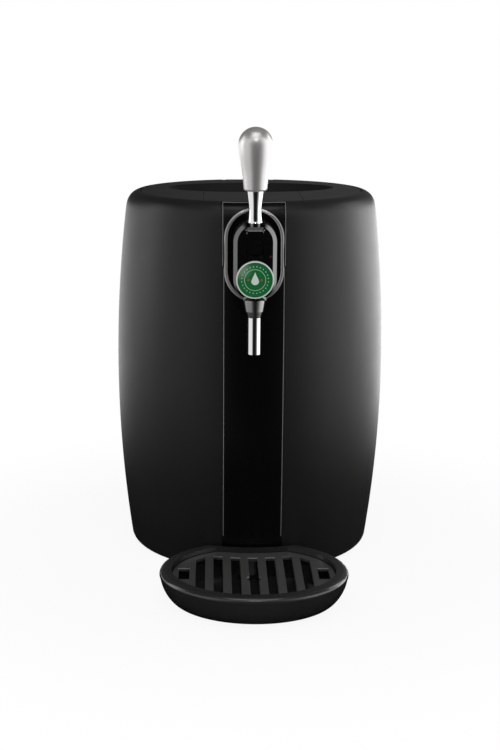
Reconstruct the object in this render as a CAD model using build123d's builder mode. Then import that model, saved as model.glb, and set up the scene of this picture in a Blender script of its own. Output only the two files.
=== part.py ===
from build123d import *
import math
import os

# Countertop cooler and tap for a five litre mini keg.
# Millimetres. X to the right, Y to the back, Z up.  The origin is on the worktop,
# under the middle of the whole machine.  Depths are counted from the barrel's own
# upright axis, which stands AXIS_Y behind the origin.

# ---------------------------------------------------------------- driving sizes
# Barrel casing
BARREL_RADIUS = 138.0        # widest, at half height
BARREL_MID_Z = 190.0
FOOT_DRAW = 12.6             # how far the casing's lower edge is drawn in
FOOT_Z = 6.0
SHOULDER_DRAW = 9.7          # and the edge where the side turns into the shoulder
SHOULDER_Z = 348.0
SHOULDER_LEAN = 0.12         # lean of the side where it meets the shoulder
RIM_LEAN = 0.3               # and of the shoulder where it meets the rim
SHOULDER_TURN_IN = 3.9       # a point half way round the shoulder, in from the side
SHOULDER_TURN_DROP = 6.2     # and down from the top
TOP_Z = 369.5                # rim round the lid, and the lid's own top
RIM_DRAW = 22.2              # outer edge of the rim's upright lip
WALL = 3.0                   # casing thickness
LIP = 2.5                    # thickness of the lip round the lid well
FOOT_RADIUS = BARREL_RADIUS - FOOT_DRAW
SHOULDER_RADIUS = BARREL_RADIUS - SHOULDER_DRAW
RIM_RADIUS = BARREL_RADIUS - RIM_DRAW
WELL_RADIUS = RIM_RADIUS - LIP
CUT = 1.0                    # how far a cut runs past the face that it opens
TOUCH = 0.1                  # how near counts as touching, when edges are picked

# Front strip
UPPER_STRIP_WIDTH = 60.0
LOWER_STRIP_WIDTH = 58.0
STRIP_SEAM_Z = 310.0
SEAM = 0.5                   # shadow gap between neighbouring covers
BASIN_WIDTH = 49.0           # recess round the tap
BASIN_LIP = 2.0              # round on the recess's edge
BASIN_LOW_Z = 281.2
BASIN_HIGH_Z = 361.0
BASIN_BACKING = 3.2          # between the lid well's lip and the recess floor
BASIN_FLOOR_DEPTH = RIM_RADIUS + BASIN_BACKING

# Keg chamber and insulation
CHAMBER_INSET = 48.0         # casing, air and foam outside the cup
CHAMBER_RADIUS = BARREL_RADIUS - CHAMBER_INSET
CHAMBER_WALL = 1.2
CHAMBER_FLOOR_Z = 60.0
CHAMBER_FLANGE = 6.0
JACKET_GAP = 2.0             # behind the recess floor, where the tap's screw heads stand
JACKET_RADIUS = BASIN_FLOOR_DEPTH - WALL - JACKET_GAP
JACKET_FOOT_Z = 40.0
DECK_Z = 354.5               # upper face of the deck that the lid closes on
DECK_THICKNESS = 4.0
DECK_DRAW = 14.6
DECK_RADIUS = BARREL_RADIUS - DECK_DRAW
DECK_GAP = 0.5               # between the deck and the recess behind which it is cut away
MOUTH_LIP = 3.0              # how far the deck laps over the cup
MOUTH_RADIUS = CHAMBER_RADIUS - MOUTH_LIP
HOSE_CHANNEL_WIDTH = 14.0    # for the keg's own beer hose
HOSE_CHANNEL_LOW_Z = 334.0

KEG_PAD_GAP = 8.0            # between the pad and the cup's side
KEG_PAD_WIDTH = 12.0
KEG_PAD_HEIGHT = 4.0

# Lid latch
LATCH_SETBACK = 8.3          # its pin, behind the front of the lid well
LATCH_Z = 358.2
LATCH_PIN_RADIUS = 0.9
LATCH_TUBE_RADIUS = 2.0
CLAW_OFFSET = 26.0
CLAW_WIDTH = 6.0
CLAW_SIDE_ROOM = 2.0
CLAW_NOSE = 3.9              # how far a claw's nose stands behind its pin
CLAW_NOSE_GAP = 0.4          # between the nose and the deck's edge
CLAW_SWING_ROOM = 5.5        # window in front of the pin, for the claw to swing into
CLAW_FRONT = 1.2
CLAW_SHANK = 1.3
CLAW_NOSE_RISE = 1.2
CLAW_TOE = 2.4
CLAW_POCKET_DEPTH = 6.0
CLAW_POCKET_LENGTH = 15.0

# Lid
LID_GAP = 0.8
LID_THICKNESS = 9.0
LID_BEVEL = 2.5              # how far the lid's lower edge is drawn in
LID_BEVEL_HEIGHT = 6.0
DISH_LENGTH_X = 174.0
DISH_LENGTH_Y = 100.0
DISH_CENTRE_DEPTH = 25.0     # behind the barrel axis
DISH_DROP = 12.0
PADDLE_WIDTH = 95.0
PADDLE_THICKNESS = 3.0
PADDLE_GAP = 0.4
POCKET_FLOOR = 1.5
LID_EDGE_ROUND = 0.5
LID_SKIN = 2.5
DISH_SLOPE = 13.0
DISH_FLOOR_ROUND = 8.0
PADDLE_PIVOT_DEPTH = 30.0
PADDLE_PIVOT_Z = 364.6
PADDLE_PIN_RADIUS = 1.2
PADDLE_PIN_LENGTH = 106.0
PADDLE_LUG = 6.0
PADDLE_LUG_RADIUS = 2.3
PADDLE_SPRING_DEPTH = 70.0
PADDLE_SPRING_RADIUS = 4.0
PADDLE_SPRING_WIRE = 0.4
PADDLE_SPRING_TURNS = 2
STUD_REACH = 9.0             # the paddle's push stud, behind the latch pin
STUD_RADIUS = 1.5
PADDLE_LUG_INSET = 7.0       # from the paddle's ends
PADDLE_ROOT = 1.0            # depth below the top where lugs and stud are rooted
STUD_LOW_Z = 359.7
EAR_X = 31.8
EAR_THICKNESS = 3.0
EAR_GAP = 0.3
CLAW_TIP_Z = 347.6
CLAW_BITE_GAP = 0.3
ARM_WIDTH = 10.0
ARM_LENGTH = 9.2
ARM_THICKNESS = 1.6
ARM_ROOT = 0.6               # root of the arm, outside the pin
ARM_LIFT = 0.4
PLUG_LOW_Z = 346.0
PLUG_GAP = 3.0               # between the plug and the mouth
PLUG_CORNER = 2.0
LINER_LAP = 3.5              # how far the liner reaches past the cup
FOAM_CLEARANCE = 1.2
LINER_WALL = 1.6
SEAL_LAP = 3.5               # middle of the seal, outside the mouth
SEAL_ROOT = 2.0              # half width of the seal in the liner
SEAL_TIP = 1.0               # and at its tip
SEAL_TOP_Z = 357.9
SEAL_GAP = 0.3
HINGE_REACH = 9.7            # hinge axis, behind the lid well
HINGE_Z = 361.0
HINGE_TONGUE_WIDTH = 48.0
HINGE_KNUCKLE_RADIUS = 4.2
HINGE_PIN_RADIUS = 1.5
HINGE_TONGUE_DIP = 2.3       # the tongue's top falls away behind the rim
HINGE_LUG = 3.4
HINGE_LUG_GAP = 0.5
HINGE_NOTCH_GAP = 0.7        # between a lug and the casing
HINGE_LUG_BREAST = 3.6       # where the lug's straight flanks leave its round end
HINGE_LUG_CHEEK = 2.0
HINGE_NECK = 3.0             # half thickness of the tongue where it meets the knuckle
TONGUE_ROOT = 8.0            # how far the tongue is rooted in the lid
HINGE_PLATE = 1.7
HINGE_PLATE_LENGTH = 7.5
HINGE_PLATE_BACK = 3.0       # rear edge of the plate, in front of the hinge axis
HINGE_SCREW_X = 14.0
SCREW_HEAD_RADIUS = 2.6
SCREW_HEAD_HEIGHT = 0.9
SCREW_RADIUS = 1.5

# Tap
TAP_WIDTH = 40.0
TAP_LOW_Z = 282.3
TAP_HIGH_Z = 356.5
TAP_PROUD = 20.0             # front of the tap, before the barrel's widest place
COVER_THICKNESS = 5.0        # of the clip-on cover
COVER_TOP_Z = 348.4          # bottom of the notch that the handle stands in
COVER_NOTCH_WIDTH = 18.0
COVER_SLOT_WIDTH = 15.3
COVER_SLOT_LOW_Z = 321.8
COVER_SLOT_ROUND = 4.4       # corners of its lower end, clear of the round end of the leg
HANDLE_SETBACK = 9.0         # handle and its pivot, behind the tap's front
PIVOT_Z = 344.0
HANDLE_PIN_RADIUS = 2.0
RUNNING_FIT = 0.05           # radial, pins in their bores
BADGE_RADIUS = 16.3
BADGE_RIM = 1.2
BADGE_PROUD = 2.6
NOZZLE_TOP_RADIUS = 10.6
NOZZLE_LOW_RADIUS = 8.7
NOZZLE_HEIGHT = 11.1
COLLAR_HEIGHT = 6.0
COLLAR_TOP_RADIUS = 7.8
SPOUT_RADIUS = 6.2
SPOUT_BORE_RADIUS = 4.6
SPOUT_LOW_Z = 230.0
TAP_NECK_LOW_Z = 284.4       # the tap stands clear of the recess's lower lip
TAP_NECK_SETBACK = 1.0       # its full outline starts behind the barrel's widest place
STEM_RADIUS = 5.4
STEM_SEAT = 4.0
NOZZLE_SEAT_GAP = -0.2       # the nozzle's seat lies a hair below the capsule's end
HOSE_RADIUS = 4.0
HOSE_ENTRY_WIDTH = 9.0
LEVER_WELL_LOW_Z = 300.0
LEVER_WIDTH = 14.6
LEVER_GAP = 0.5
LEVER_SINK = 0.4             # leg's face behind the cover's face
LEVER_LEG = 4.4
LEVER_LOW_Z = 323.4
LEVER_CHAMFER = 2.0
LEVER_HUB_RADIUS = 5.6
LEVER_FACE_TOP_Z = 348.0
LEVER_TOP_Z = 350.6          # underside of the flared root
HANDLE_PIN_LENGTH = 28.0
SLIDER_GAP = 0.4
SLIDER_WIDTH = 13.8
SLIDER_TAB = 3.0
SLIDER_SEAT_GAP = 0.3
SLIDER_HIGH_Z = 326.0
SLIDER_FOOT = 9.0
SLIDER_LENGTH = 7.2
SLIDER_PINCH = 2.2           # squeezed hose between the foot and the cover
SLIDER_WINDOW = 5.0
SLIDER_HOSE_GAP = 0.3
SLIDER_TRAVEL = 11.0         # as far as the lever's leg swings
PINCH_SPRING_SHORT = 3.6     # length left to the spring when it is pressed
PINCH_SPRING_RADIUS = 3.0
PINCH_SPRING_WIRE = 0.4
PINCH_SPRING_TURNS = 5
COVER_BEVEL_FACE = 2.4       # bevel round the cover, measured across its face
COVER_BEVEL_SIDE = 3.6       # and down its side
BADGE_FLOOR = 0.8
BADGE_THICKNESS = 0.9
BADGE_DOME = 0.9
BADGE_DISC_GAP = 0.1
LENS_X = 14.3
LENS_Z = 323.4
LENS_RADIUS = 1.3
LENS_LENGTH = 3.0
LENS_PROUD = 0.3
TAP_SCREW_X = 14.0
TAP_SCREW_Z = 316.0
TAP_SCREW_LENGTH = 12.0

# Handle
GRIP_TOP_Z = 441.0
GRIP_LOW_Z = 383.0
GRIP_RADIUS = 15.9
GRIP_LOW_RADIUS = 10.85
GRIP_FOOT_ROUND = 2.4
GRIP_MIDDLE_RADIUS = 12.8
GRIP_MIDDLE_Z = 403.0
GRIP_SPLAY = 0.08            # lean of the grip's side at its foot
NECK_SPIGOT_RADIUS = 4.0
NECK_SPIGOT_LENGTH = 20.0
NECK_TOP_RADIUS = 7.9
NECK_WAIST_RADIUS = 6.0
NECK_WAIST_Z = 359.6
NECK_ROOT_RADIUS = 7.2
NECK_ROOT_Z = 353.7
NECK_ROOT_EDGE = 0.6
NECK_FLARE = 0.5             # lean of the neck's side at its root
NECK_SPLAY = 0.1             # and at its top

# Drip tray
TRAY_WIDTH = 179.0
TRAY_LENGTH = 150.0          # of the full oval that the barrel bites into
TRAY_BITE = 15.8             # how deep the barrel bites into the oval
TRAY_HEIGHT = 31.0
TRAY_FOOT_INSET = 17.0       # how far the bowl is drawn in at the worktop
TRAY_FULLNESS = 1.6          # of the bowl's side; 1 is straight, 2 is a quarter ellipse
TRAY_SECTIONS = 5
TRAY_CORNER = 10.0
TRAY_CORNER_LEAST = 2.0
TRAY_WALL = 2.4
TRAY_RIM_WIDTH = 11.5
TRAY_BACK_RIM = 6.5          # width of the rim along the barrel
TRAY_RIM_HEIGHT = 5.0
TRAY_TO_BARREL = 1.5
GRID_DROP = 4.5              # grid face below the tray's rim
GRID_THICKNESS = 3.0
GRID_GAP = 0.6
GRID_BORDER = 8.0
GRID_BACK_BORDER = 14.0
GRID_LEDGE = 3.0
GRID_EDGE = 0.7
TRAY_RIM_OVERHANG = 0.5
TRAY_RIM_ROUND = 4.4
TRAY_BACK_TAPER = 3.0
END_WINDOW_LENGTH = 26.0
END_WINDOW_SHIFT = 2.0       # forward of the oval's middle
SLOT_PITCH = 16.9
SLOT_WIDTH = 8.9
SLOT_COUNT = 7
END_WINDOW = 10.4
END_WINDOW_OFFSET = 66.3
FINGER_HOLE_RADIUS = 6.3
FINGER_HOLE_SHIFT = 14.0

# Rear housing
REAR_PROUD = 52.0            # back of the housing, behind the barrel's widest place
REAR_WIDTH = 176.0
REAR_TOP_Z = 345.0
REAR_CORNER = 26.0
REAR_SLOPE = 26.0            # height of the sloping top edge
REAR_SLOPE_LENGTH = 41.6
GRILLE_WIDTH = 116.0
GRILLE_LOW_Z = 132.0
GRILLE_HIGH_Z = 268.0
LOUVRE_PITCH = 10.0
LOUVRE_HEIGHT = 5.0
GRILLE_FLANGE = 2.0
GRILLE_LAP = 4.0
REAR_PLAN_START = 40.0
BASE_REAR_INSET = 1.0
REAR_TUCK = 12.0             # the housing's front edges tuck in behind the casing
SWITCH_X = 52.0
SWITCH_Z = 62.0
SWITCH_WIDTH = 20.0
SWITCH_HEIGHT = 30.0
SWITCH_BODY_DEPTH = 18.0
ROCKER_WIDTH = 13.0
ROCKER_HEIGHT = 22.0
ROCKER_GAP = 0.6
ROCKER_FACE = 2.6            # its face in front of the trunnions, at mid height
ROCKER_TILT = 1.1            # pressed half stands back, the other half out
ROCKER_ROOT = 4.0
ROCKER_EDGE = 1.0
ROCKER_SINK = 6.0            # its axis, in front of the housing's back
TRUNNION_RADIUS = 1.2
TRUNNION_LENGTH = 17.0
INLET_X = -46.0
INLET_WIDTH = 30.0
INLET_HEIGHT = 24.0
INLET_DEPTH = 20.0
INLET_CORNER = 4.0
INLET_PIN_PITCH = 7.0
INLET_PIN_DROP = 2.0
INLET_PIN_WIDTH = 2.0

# Cooling unit
COOLER_Z = 200.0
COLD_BLOCK_SIZE = 60.0
COLD_BLOCK_REACH = 31.0      # its flat rear face, behind the cup
PELTIER_SIZE = 40.0
PELTIER_THICKNESS = 4.0
SINK_SIZE = 96.0
SINK_BASE = 6.0
FIN_COUNT = 13
FIN_THICKNESS = 1.6
FAN_SIZE = 92.0
FAN_DEPTH = 22.0
FAN_BORE_RADIUS = 43.0
FAN_HUB_RADIUS = 17.0
BLADE_COUNT = 7
BLADE_CHORD = 15.0
BLADE_THICKNESS = 1.4
BLADE_PITCH = 38.0
BLADE_TIP_GAP = 1.5
BLADE_ROOT = 1.0             # how deep a blade is rooted in the hub
FAN_BACK = 4.0
FAN_CORNER = 5.0
FAN_SPOKE = 4.0
FAN_HUB_ROUND = 2.0
FAN_SHAFT_RADIUS = 2.0
FAN_SHAFT_LENGTH = 9.0
FAN_RUNNING_GAP = 0.5
FAN_HUB_LENGTH = 15.0
COOLER_CLEARANCE = 0.3

# Base
BASE_DRAW = 4.0              # lower edge of the base, in from its upper edge
BASE_STEP = 0.4              # upper edge of the base, in from the casing
BASE_BULGE = 0.8             # a point half way round its edge, in from the upper edge
FOOT_HEIGHT = 2.0
RUBBER_FOOT_RADIUS = 8.0
RUBBER_FOOT_EDGE = 0.6
FOOT_CIRCLE_DRAW = 42.0
BASE_FLOOR = 3.0
BASE_FLARE = 1.5             # and up from the lower edge
SPIGOT_CLEARANCE = 1.0       # between the casing and the spigot inside it
SPIGOT_Z = 16.0
SUPPORT_DRAW = 34.0
SUPPORT_WALL = 5.0
PSU_LENGTH = 120.0
PSU_WIDTH = 76.0
PSU_HEIGHT = 30.0
PSU_CORNER = 3.0
PSU_SHIFT = 30.0
BOARD_Z = 12.0
BOARD_LENGTH = 90.0
BOARD_WIDTH = 50.0
BOARD_THICKNESS = 1.6
BOARD_SHIFT = 50.0
BOARD_EDGE = 8.0
PILLAR_RADIUS = 2.5
RELAY_LENGTH = 16.0
RELAY_WIDTH = 12.0
RELAY_HEIGHT = 8.0
TONGUE_Z = 12.0              # the tray's tongue, middle height
TONGUE_WIDTH = 44.0
TONGUE_THICKNESS = 3.0
TONGUE_CLEARANCE = 0.6
TONGUE_REACH = 6.0
TONGUE_SHIFT = 2.0
BASE_SCREW_LENGTH = 14.0
HOUSING_SCREW_LENGTH = 10.0
BOSS_X = 50.0
BOSS_Z = 14.0
BOSS_INSET = 8.0             # from the housing's back
BOSS_WIDTH = 10.0
BOSS_LENGTH = 10.0
BOSS_HEIGHT = 16.0

# Worked out
BACK_RADIUS = SHOULDER_RADIUS + TRAY_TO_BARREL
TRAY_CENTRE_DEPTH = BACK_RADIUS - TRAY_BITE + TRAY_LENGTH / 2
TRAY_FRONT = TRAY_CENTRE_DEPTH + TRAY_LENGTH / 2
REAR_REACH = BARREL_RADIUS + REAR_PROUD
AXIS_Y = (TRAY_FRONT - REAR_REACH) / 2
KEG_PAD_RADIUS = CHAMBER_RADIUS - KEG_PAD_GAP
LATCH_DEPTH = WELL_RADIUS - LATCH_SETBACK
STUD_DEPTH = LATCH_DEPTH - STUD_REACH
PLUG_RADIUS = MOUTH_RADIUS - PLUG_GAP
LINER_RADIUS = CHAMBER_RADIUS + LINER_LAP
SEAL_RADIUS = MOUTH_RADIUS + SEAL_LAP
HINGE_DEPTH = WELL_RADIUS + HINGE_REACH
TAP_FRONT_DEPTH = BARREL_RADIUS + TAP_PROUD
TAP_SPLIT_DEPTH = TAP_FRONT_DEPTH - COVER_THICKNESS
TAP_NECK_DEPTH = BARREL_RADIUS - TAP_NECK_SETBACK
TAP_AXIS_DEPTH = TAP_FRONT_DEPTH - NOZZLE_TOP_RADIUS
HANDLE_DEPTH = TAP_FRONT_DEPTH - HANDLE_SETBACK
COLD_BLOCK_DEPTH = CHAMBER_RADIUS + COLD_BLOCK_REACH
REAR_TUCK_RADIUS = BARREL_RADIUS - REAR_TUCK
ROCKER_AXIS_DEPTH = REAR_REACH - ROCKER_SINK
BOSS_DEPTH = REAR_REACH - BOSS_INSET
BASE_TOP_RADIUS = FOOT_RADIUS - BASE_STEP
FOOT_CIRCLE_RADIUS = BARREL_RADIUS - FOOT_CIRCLE_DRAW
SUPPORT_RADIUS = BARREL_RADIUS - SUPPORT_DRAW
SUPPORT_MIDDLE = SUPPORT_RADIUS - SUPPORT_WALL / 2
LID_RADIUS = WELL_RADIUS - LID_GAP
LID_UNDER_Z = TOP_Z - LID_THICKNESS
TAP_RADIUS = TAP_WIDTH / 2
BADGE_Z = TAP_LOW_Z + TAP_RADIUS
DECK_UNDER_Z = DECK_Z - DECK_THICKNESS
CLAW_WINDOW_LENGTH = CLAW_NOSE + CLAW_NOSE_GAP + CLAW_SWING_ROOM
CLAW_WINDOW_DEPTH = LATCH_DEPTH - CLAW_NOSE - CLAW_NOSE_GAP + CLAW_WINDOW_LENGTH / 2
SLIDER_FRONT = TAP_FRONT_DEPTH - LEVER_SINK - LEVER_LEG - SLIDER_GAP
SLIDER_BACK = SLIDER_FRONT - SLIDER_LENGTH
LEVER_WELL_DEPTH = SLIDER_BACK - SLIDER_TRAVEL - PINCH_SPRING_SHORT
SLIDER_LOW_Z = LEVER_WELL_LOW_Z + SLIDER_SEAT_GAP
SINK_DEPTH = COLD_BLOCK_DEPTH + PELTIER_THICKNESS
FAN_REAR = REAR_REACH - WALL - GRILLE_FLANGE - COOLER_CLEARANCE
SINK_FIN_DEPTH = FAN_REAR - FAN_DEPTH - SINK_DEPTH - SINK_BASE

os.makedirs("parts", exist_ok=True)


# ---------------------------------------------------------------- planes
def level(height):
    """A level plane at a height, centred on the barrel axis."""
    return Plane((0, AXIS_Y, height))


def upright(depth, height=0.0):
    """A plane that faces the user, depth in front of the barrel axis."""
    return Plane((0, AXIS_Y - depth, height), x_dir=(1, 0, 0), z_dir=(0, -1, 0))


def side_on(offset=0.0):
    """A plane that faces right: its x runs to the back, its y runs up."""
    return Plane((offset, AXIS_Y, 0), x_dir=(0, 1, 0), z_dir=(1, 0, 0))


BARREL_AXIS = Axis((0, AXIS_Y, 0), (0, 0, 1))


# ---------------------------------------------------------------- shared shapes
def barrel(inset):
    """The whole barrel as a solid, its side and shoulder drawn in by inset."""
    with BuildPart() as solid:
        with BuildSketch(side_on()):
            with BuildLine():
                foot = (FOOT_RADIUS - inset, FOOT_Z)
                shoulder = (SHOULDER_RADIUS - inset, SHOULDER_Z)
                rim = (RIM_RADIUS, TOP_Z - inset)
                Line((0, FOOT_Z), foot)
                ThreePointArc(foot, (BARREL_RADIUS - inset, BARREL_MID_Z), shoulder)
                turn = (SHOULDER_RADIUS - inset - SHOULDER_TURN_IN, TOP_Z - inset - SHOULDER_TURN_DROP)
                Spline(shoulder, turn, rim, tangents=((-SHOULDER_LEAN, 1), (-1, RIM_LEAN)))
                Line(rim, (0, TOP_Z - inset))
                Line((0, TOP_Z - inset), (0, FOOT_Z))
            make_face()
        revolve(axis=BARREL_AXIS)
    return solid.part


def casing():
    """The barrel's wall all round, with the upright lip of the lid well."""
    with BuildPart() as wall:
        add(barrel(0))
        add(barrel(WALL), mode=Mode.SUBTRACT)
        with BuildSketch(level(DECK_Z)):
            Circle(RIM_RADIUS)
        extrude(amount=TOP_Z - DECK_Z - WALL / 2)
        with BuildSketch(level(DECK_Z)):
            Circle(WELL_RADIUS)
        extrude(amount=TOP_Z - DECK_Z + CUT, mode=Mode.SUBTRACT)
    return wall.part


def stadium(width, low, high):
    """An upright slot shape with round ends, drawn in a plane that faces the user."""
    with Locations((0, (low + high) / 2)):
        SlotOverall(high - low, width, rotation=90)


def coil_spring(plane, radius, wire, length, turns):
    """A compression spring that stands on a plane."""
    rise = length - 2 * wire
    with BuildPart() as spring:
        with BuildLine(Plane.XY.offset(wire)) as line:
            Helix(pitch=rise / turns, height=rise, radius=radius)
        with BuildSketch(line.line ^ 0):
            Circle(wire)
        sweep(path=line.line)
    return spring.part.moved(plane.location)


def cheese_head_screws(plane, places, length):
    """Screws driven against a plane's normal, with their heads standing on the plane."""
    with BuildPart() as screws:
        with BuildSketch(plane):
            with Locations(*places):
                Circle(SCREW_HEAD_RADIUS)
        extrude(amount=SCREW_HEAD_HEIGHT)
        with BuildSketch(plane):
            with Locations(*places):
                Circle(SCREW_RADIUS)
        extrude(amount=-length)
    return screws.part


def capsule_screw_plane():
    """The back of the recess floor, facing into the machine."""
    return Plane((0, AXIS_Y - BASIN_FLOOR_DEPTH + WALL, 0), x_dir=(-1, 0, 0), z_dir=(0, 1, 0))


CASING = casing()
FULL_BARREL = barrel(0)
# Planes sunk by one screw head below the underside and the back.
UNDERSIDE = Plane((0, AXIS_Y, FOOT_HEIGHT + SCREW_HEAD_HEIGHT), x_dir=(1, 0, 0), z_dir=(0, 0, -1))
BEHIND = Plane((0, AXIS_Y + REAR_REACH - SCREW_HEAD_HEIGHT, 0), x_dir=(-1, 0, 0), z_dir=(0, 1, 0))
TAP_SCREWS = cheese_head_screws(capsule_screw_plane(),
                                [(-TAP_SCREW_X, TAP_SCREW_Z), (TAP_SCREW_X, TAP_SCREW_Z)], TAP_SCREW_LENGTH)
BASE_SCREWS = cheese_head_screws(UNDERSIDE, [(SUPPORT_MIDDLE, 0), (-SUPPORT_MIDDLE, 0), (0, SUPPORT_MIDDLE),
                                             (0, -SUPPORT_MIDDLE)], BASE_SCREW_LENGTH)
HOUSING_SCREWS = cheese_head_screws(BEHIND, [(-BOSS_X, BOSS_Z), (BOSS_X, BOSS_Z)], HOUSING_SCREW_LENGTH)
HINGE_PLATE_MIDDLE = HINGE_DEPTH - HINGE_PLATE_BACK - HINGE_PLATE_LENGTH / 2
HINGE_SCREWS = cheese_head_screws(level(DECK_Z + HINGE_PLATE),
                                  [(-HINGE_SCREW_X, HINGE_PLATE_MIDDLE), (HINGE_SCREW_X, HINGE_PLATE_MIDDLE)],
                                  HINGE_PLATE + DECK_THICKNESS)

# ---------------------------------------------------------------- side shells
# One half of the casing, open at the front for the strip, at the back for the rear
# housing and at the top rear for the lid's hinge.
HINGE_NOTCH_WIDTH = HINGE_TONGUE_WIDTH + 2 * (HINGE_LUG_GAP + HINGE_LUG + HINGE_NOTCH_GAP)
with BuildPart() as right_side_shell:
    add(CASING)
    with BuildSketch(level(0)):
        with Locations((-BARREL_RADIUS, 0)):
            Rectangle(2 * BARREL_RADIUS, 3 * BARREL_RADIUS)
    extrude(amount=TOP_Z + CUT, mode=Mode.SUBTRACT)
    with BuildSketch(level(0)):
        with Locations((0, -BARREL_RADIUS)):
            Rectangle(LOWER_STRIP_WIDTH + 2 * SEAM, 2 * BARREL_RADIUS)
    extrude(amount=STRIP_SEAM_Z, mode=Mode.SUBTRACT)
    with BuildSketch(level(STRIP_SEAM_Z)):
        with Locations((0, -BARREL_RADIUS)):
            Rectangle(UPPER_STRIP_WIDTH + 2 * SEAM, 2 * BARREL_RADIUS)
    extrude(amount=TOP_Z - STRIP_SEAM_Z + CUT, mode=Mode.SUBTRACT)
    with BuildSketch(level(0)):
        with Locations((0, BARREL_RADIUS)):
            Rectangle(REAR_WIDTH + 2 * SEAM, 2 * BARREL_RADIUS)
    extrude(amount=REAR_TOP_Z + SEAM, mode=Mode.SUBTRACT)
    with BuildSketch(level(DECK_Z)):
        with Locations((0, BARREL_RADIUS)):
            Rectangle(HINGE_NOTCH_WIDTH, 2 * (BARREL_RADIUS - CHAMBER_RADIUS))
    extrude(amount=TOP_Z, mode=Mode.SUBTRACT)

with BuildPart() as left_side_shell:
    mirror(right_side_shell.part, about=Plane.YZ)


# ---------------------------------------------------------------- front strip
def front_cover():
    """The glossy front at its full height and widest, with the recess round the tap."""
    with BuildPart() as cover:
        add(CASING)
        with BuildSketch(upright(BASIN_FLOOR_DEPTH - WALL)):
            stadium(BASIN_WIDTH + 2 * WALL, BASIN_LOW_Z - WALL, BASIN_HIGH_Z + WALL)
        extrude(amount=BARREL_RADIUS)
        add(FULL_BARREL, mode=Mode.INTERSECT)
        with BuildSketch(level(0)):
            Circle(WELL_RADIUS)
        extrude(amount=TOP_Z + CUT, mode=Mode.SUBTRACT)
        with BuildSketch(level(0)):
            with Locations((0, -BARREL_RADIUS)):
                Rectangle(UPPER_STRIP_WIDTH, 2 * (BARREL_RADIUS - CHAMBER_RADIUS))
        extrude(amount=TOP_Z + CUT, mode=Mode.INTERSECT)
        with BuildSketch(upright(BASIN_FLOOR_DEPTH)):
            stadium(BASIN_WIDTH, BASIN_LOW_Z, BASIN_HIGH_Z)
        extrude(amount=BARREL_RADIUS, mode=Mode.SUBTRACT)
        edge_depth = BASIN_FLOOR_DEPTH + BASIN_LIP
        made = cover.edges(Select.LAST).filter_by(Axis.Y, reverse=True)
        mouth = made.filter_by(GeomType.CIRCLE, reverse=True)
        fillet(mouth.filter_by(lambda edge: AXIS_Y - edge.center().Y > edge_depth), BASIN_LIP)
    return cover.part


FRONT_COVER = front_cover()


def strip(width, low, high):
    """A length of the glossy front strip, with its share of the recess round the tap."""
    with BuildPart() as panel:
        add(FRONT_COVER)
        with BuildSketch(level(low)):
            with Locations((0, -BARREL_RADIUS)):
                Rectangle(width, 2 * (BARREL_RADIUS - CHAMBER_RADIUS))
        extrude(amount=high - low, mode=Mode.INTERSECT)
        with BuildSketch(level(HOSE_CHANNEL_LOW_Z)):
            with Locations((0, -BARREL_RADIUS)):
                Rectangle(HOSE_CHANNEL_WIDTH, 2 * (BARREL_RADIUS - CHAMBER_RADIUS))
        extrude(amount=DECK_Z - HOSE_CHANNEL_LOW_Z, mode=Mode.SUBTRACT)
    return panel.part


UPPER_STRIP = strip(UPPER_STRIP_WIDTH, STRIP_SEAM_Z, TOP_Z)
LOWER_STRIP = strip(LOWER_STRIP_WIDTH, FOOT_Z, STRIP_SEAM_Z - SEAM)

with BuildPart() as upper_front_panel:
    add(UPPER_STRIP)
    add(TAP_SCREWS, mode=Mode.SUBTRACT)

with BuildPart() as lower_front_panel:
    add(LOWER_STRIP)
    with BuildSketch(upright(FOOT_RADIUS, TONGUE_Z)):
        Rectangle(TONGUE_WIDTH + 2 * TONGUE_CLEARANCE, TONGUE_THICKNESS + 2 * TONGUE_CLEARANCE)
    extrude(amount=2 * WALL, both=True, mode=Mode.SUBTRACT)


# ---------------------------------------------------------------- keg chamber
# Drawn aluminium cup, wrapped in foam, that holds the keg.
with BuildPart() as keg_chamber:
    with BuildSketch(level(CHAMBER_FLOOR_Z - CHAMBER_WALL)):
        Circle(CHAMBER_RADIUS + CHAMBER_WALL)
    extrude(amount=DECK_UNDER_Z - CHAMBER_FLOOR_Z + CHAMBER_WALL)
    with BuildSketch(level(DECK_UNDER_Z - CHAMBER_WALL)):
        Circle(CHAMBER_RADIUS + CHAMBER_FLANGE)
    extrude(amount=CHAMBER_WALL)
    with BuildSketch(level(CHAMBER_FLOOR_Z)):
        Circle(CHAMBER_RADIUS)
    extrude(amount=DECK_UNDER_Z, mode=Mode.SUBTRACT)
    with BuildSketch(level(HOSE_CHANNEL_LOW_Z)):
        with Locations((0, -CHAMBER_RADIUS)):
            Rectangle(HOSE_CHANNEL_WIDTH, 4 * CHAMBER_FLANGE)
    extrude(amount=DECK_Z, mode=Mode.SUBTRACT)

# Soft ring that the keg stands on.
with BuildPart() as keg_support_pad:
    with BuildSketch(level(CHAMBER_FLOOR_Z)):
        Circle(KEG_PAD_RADIUS)
        Circle(KEG_PAD_RADIUS - KEG_PAD_WIDTH, mode=Mode.SUBTRACT)
    extrude(amount=KEG_PAD_HEIGHT)
    chamfer(keg_support_pad.edges().group_by(Axis.Z)[-1], KEG_PAD_HEIGHT / 4)

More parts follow.
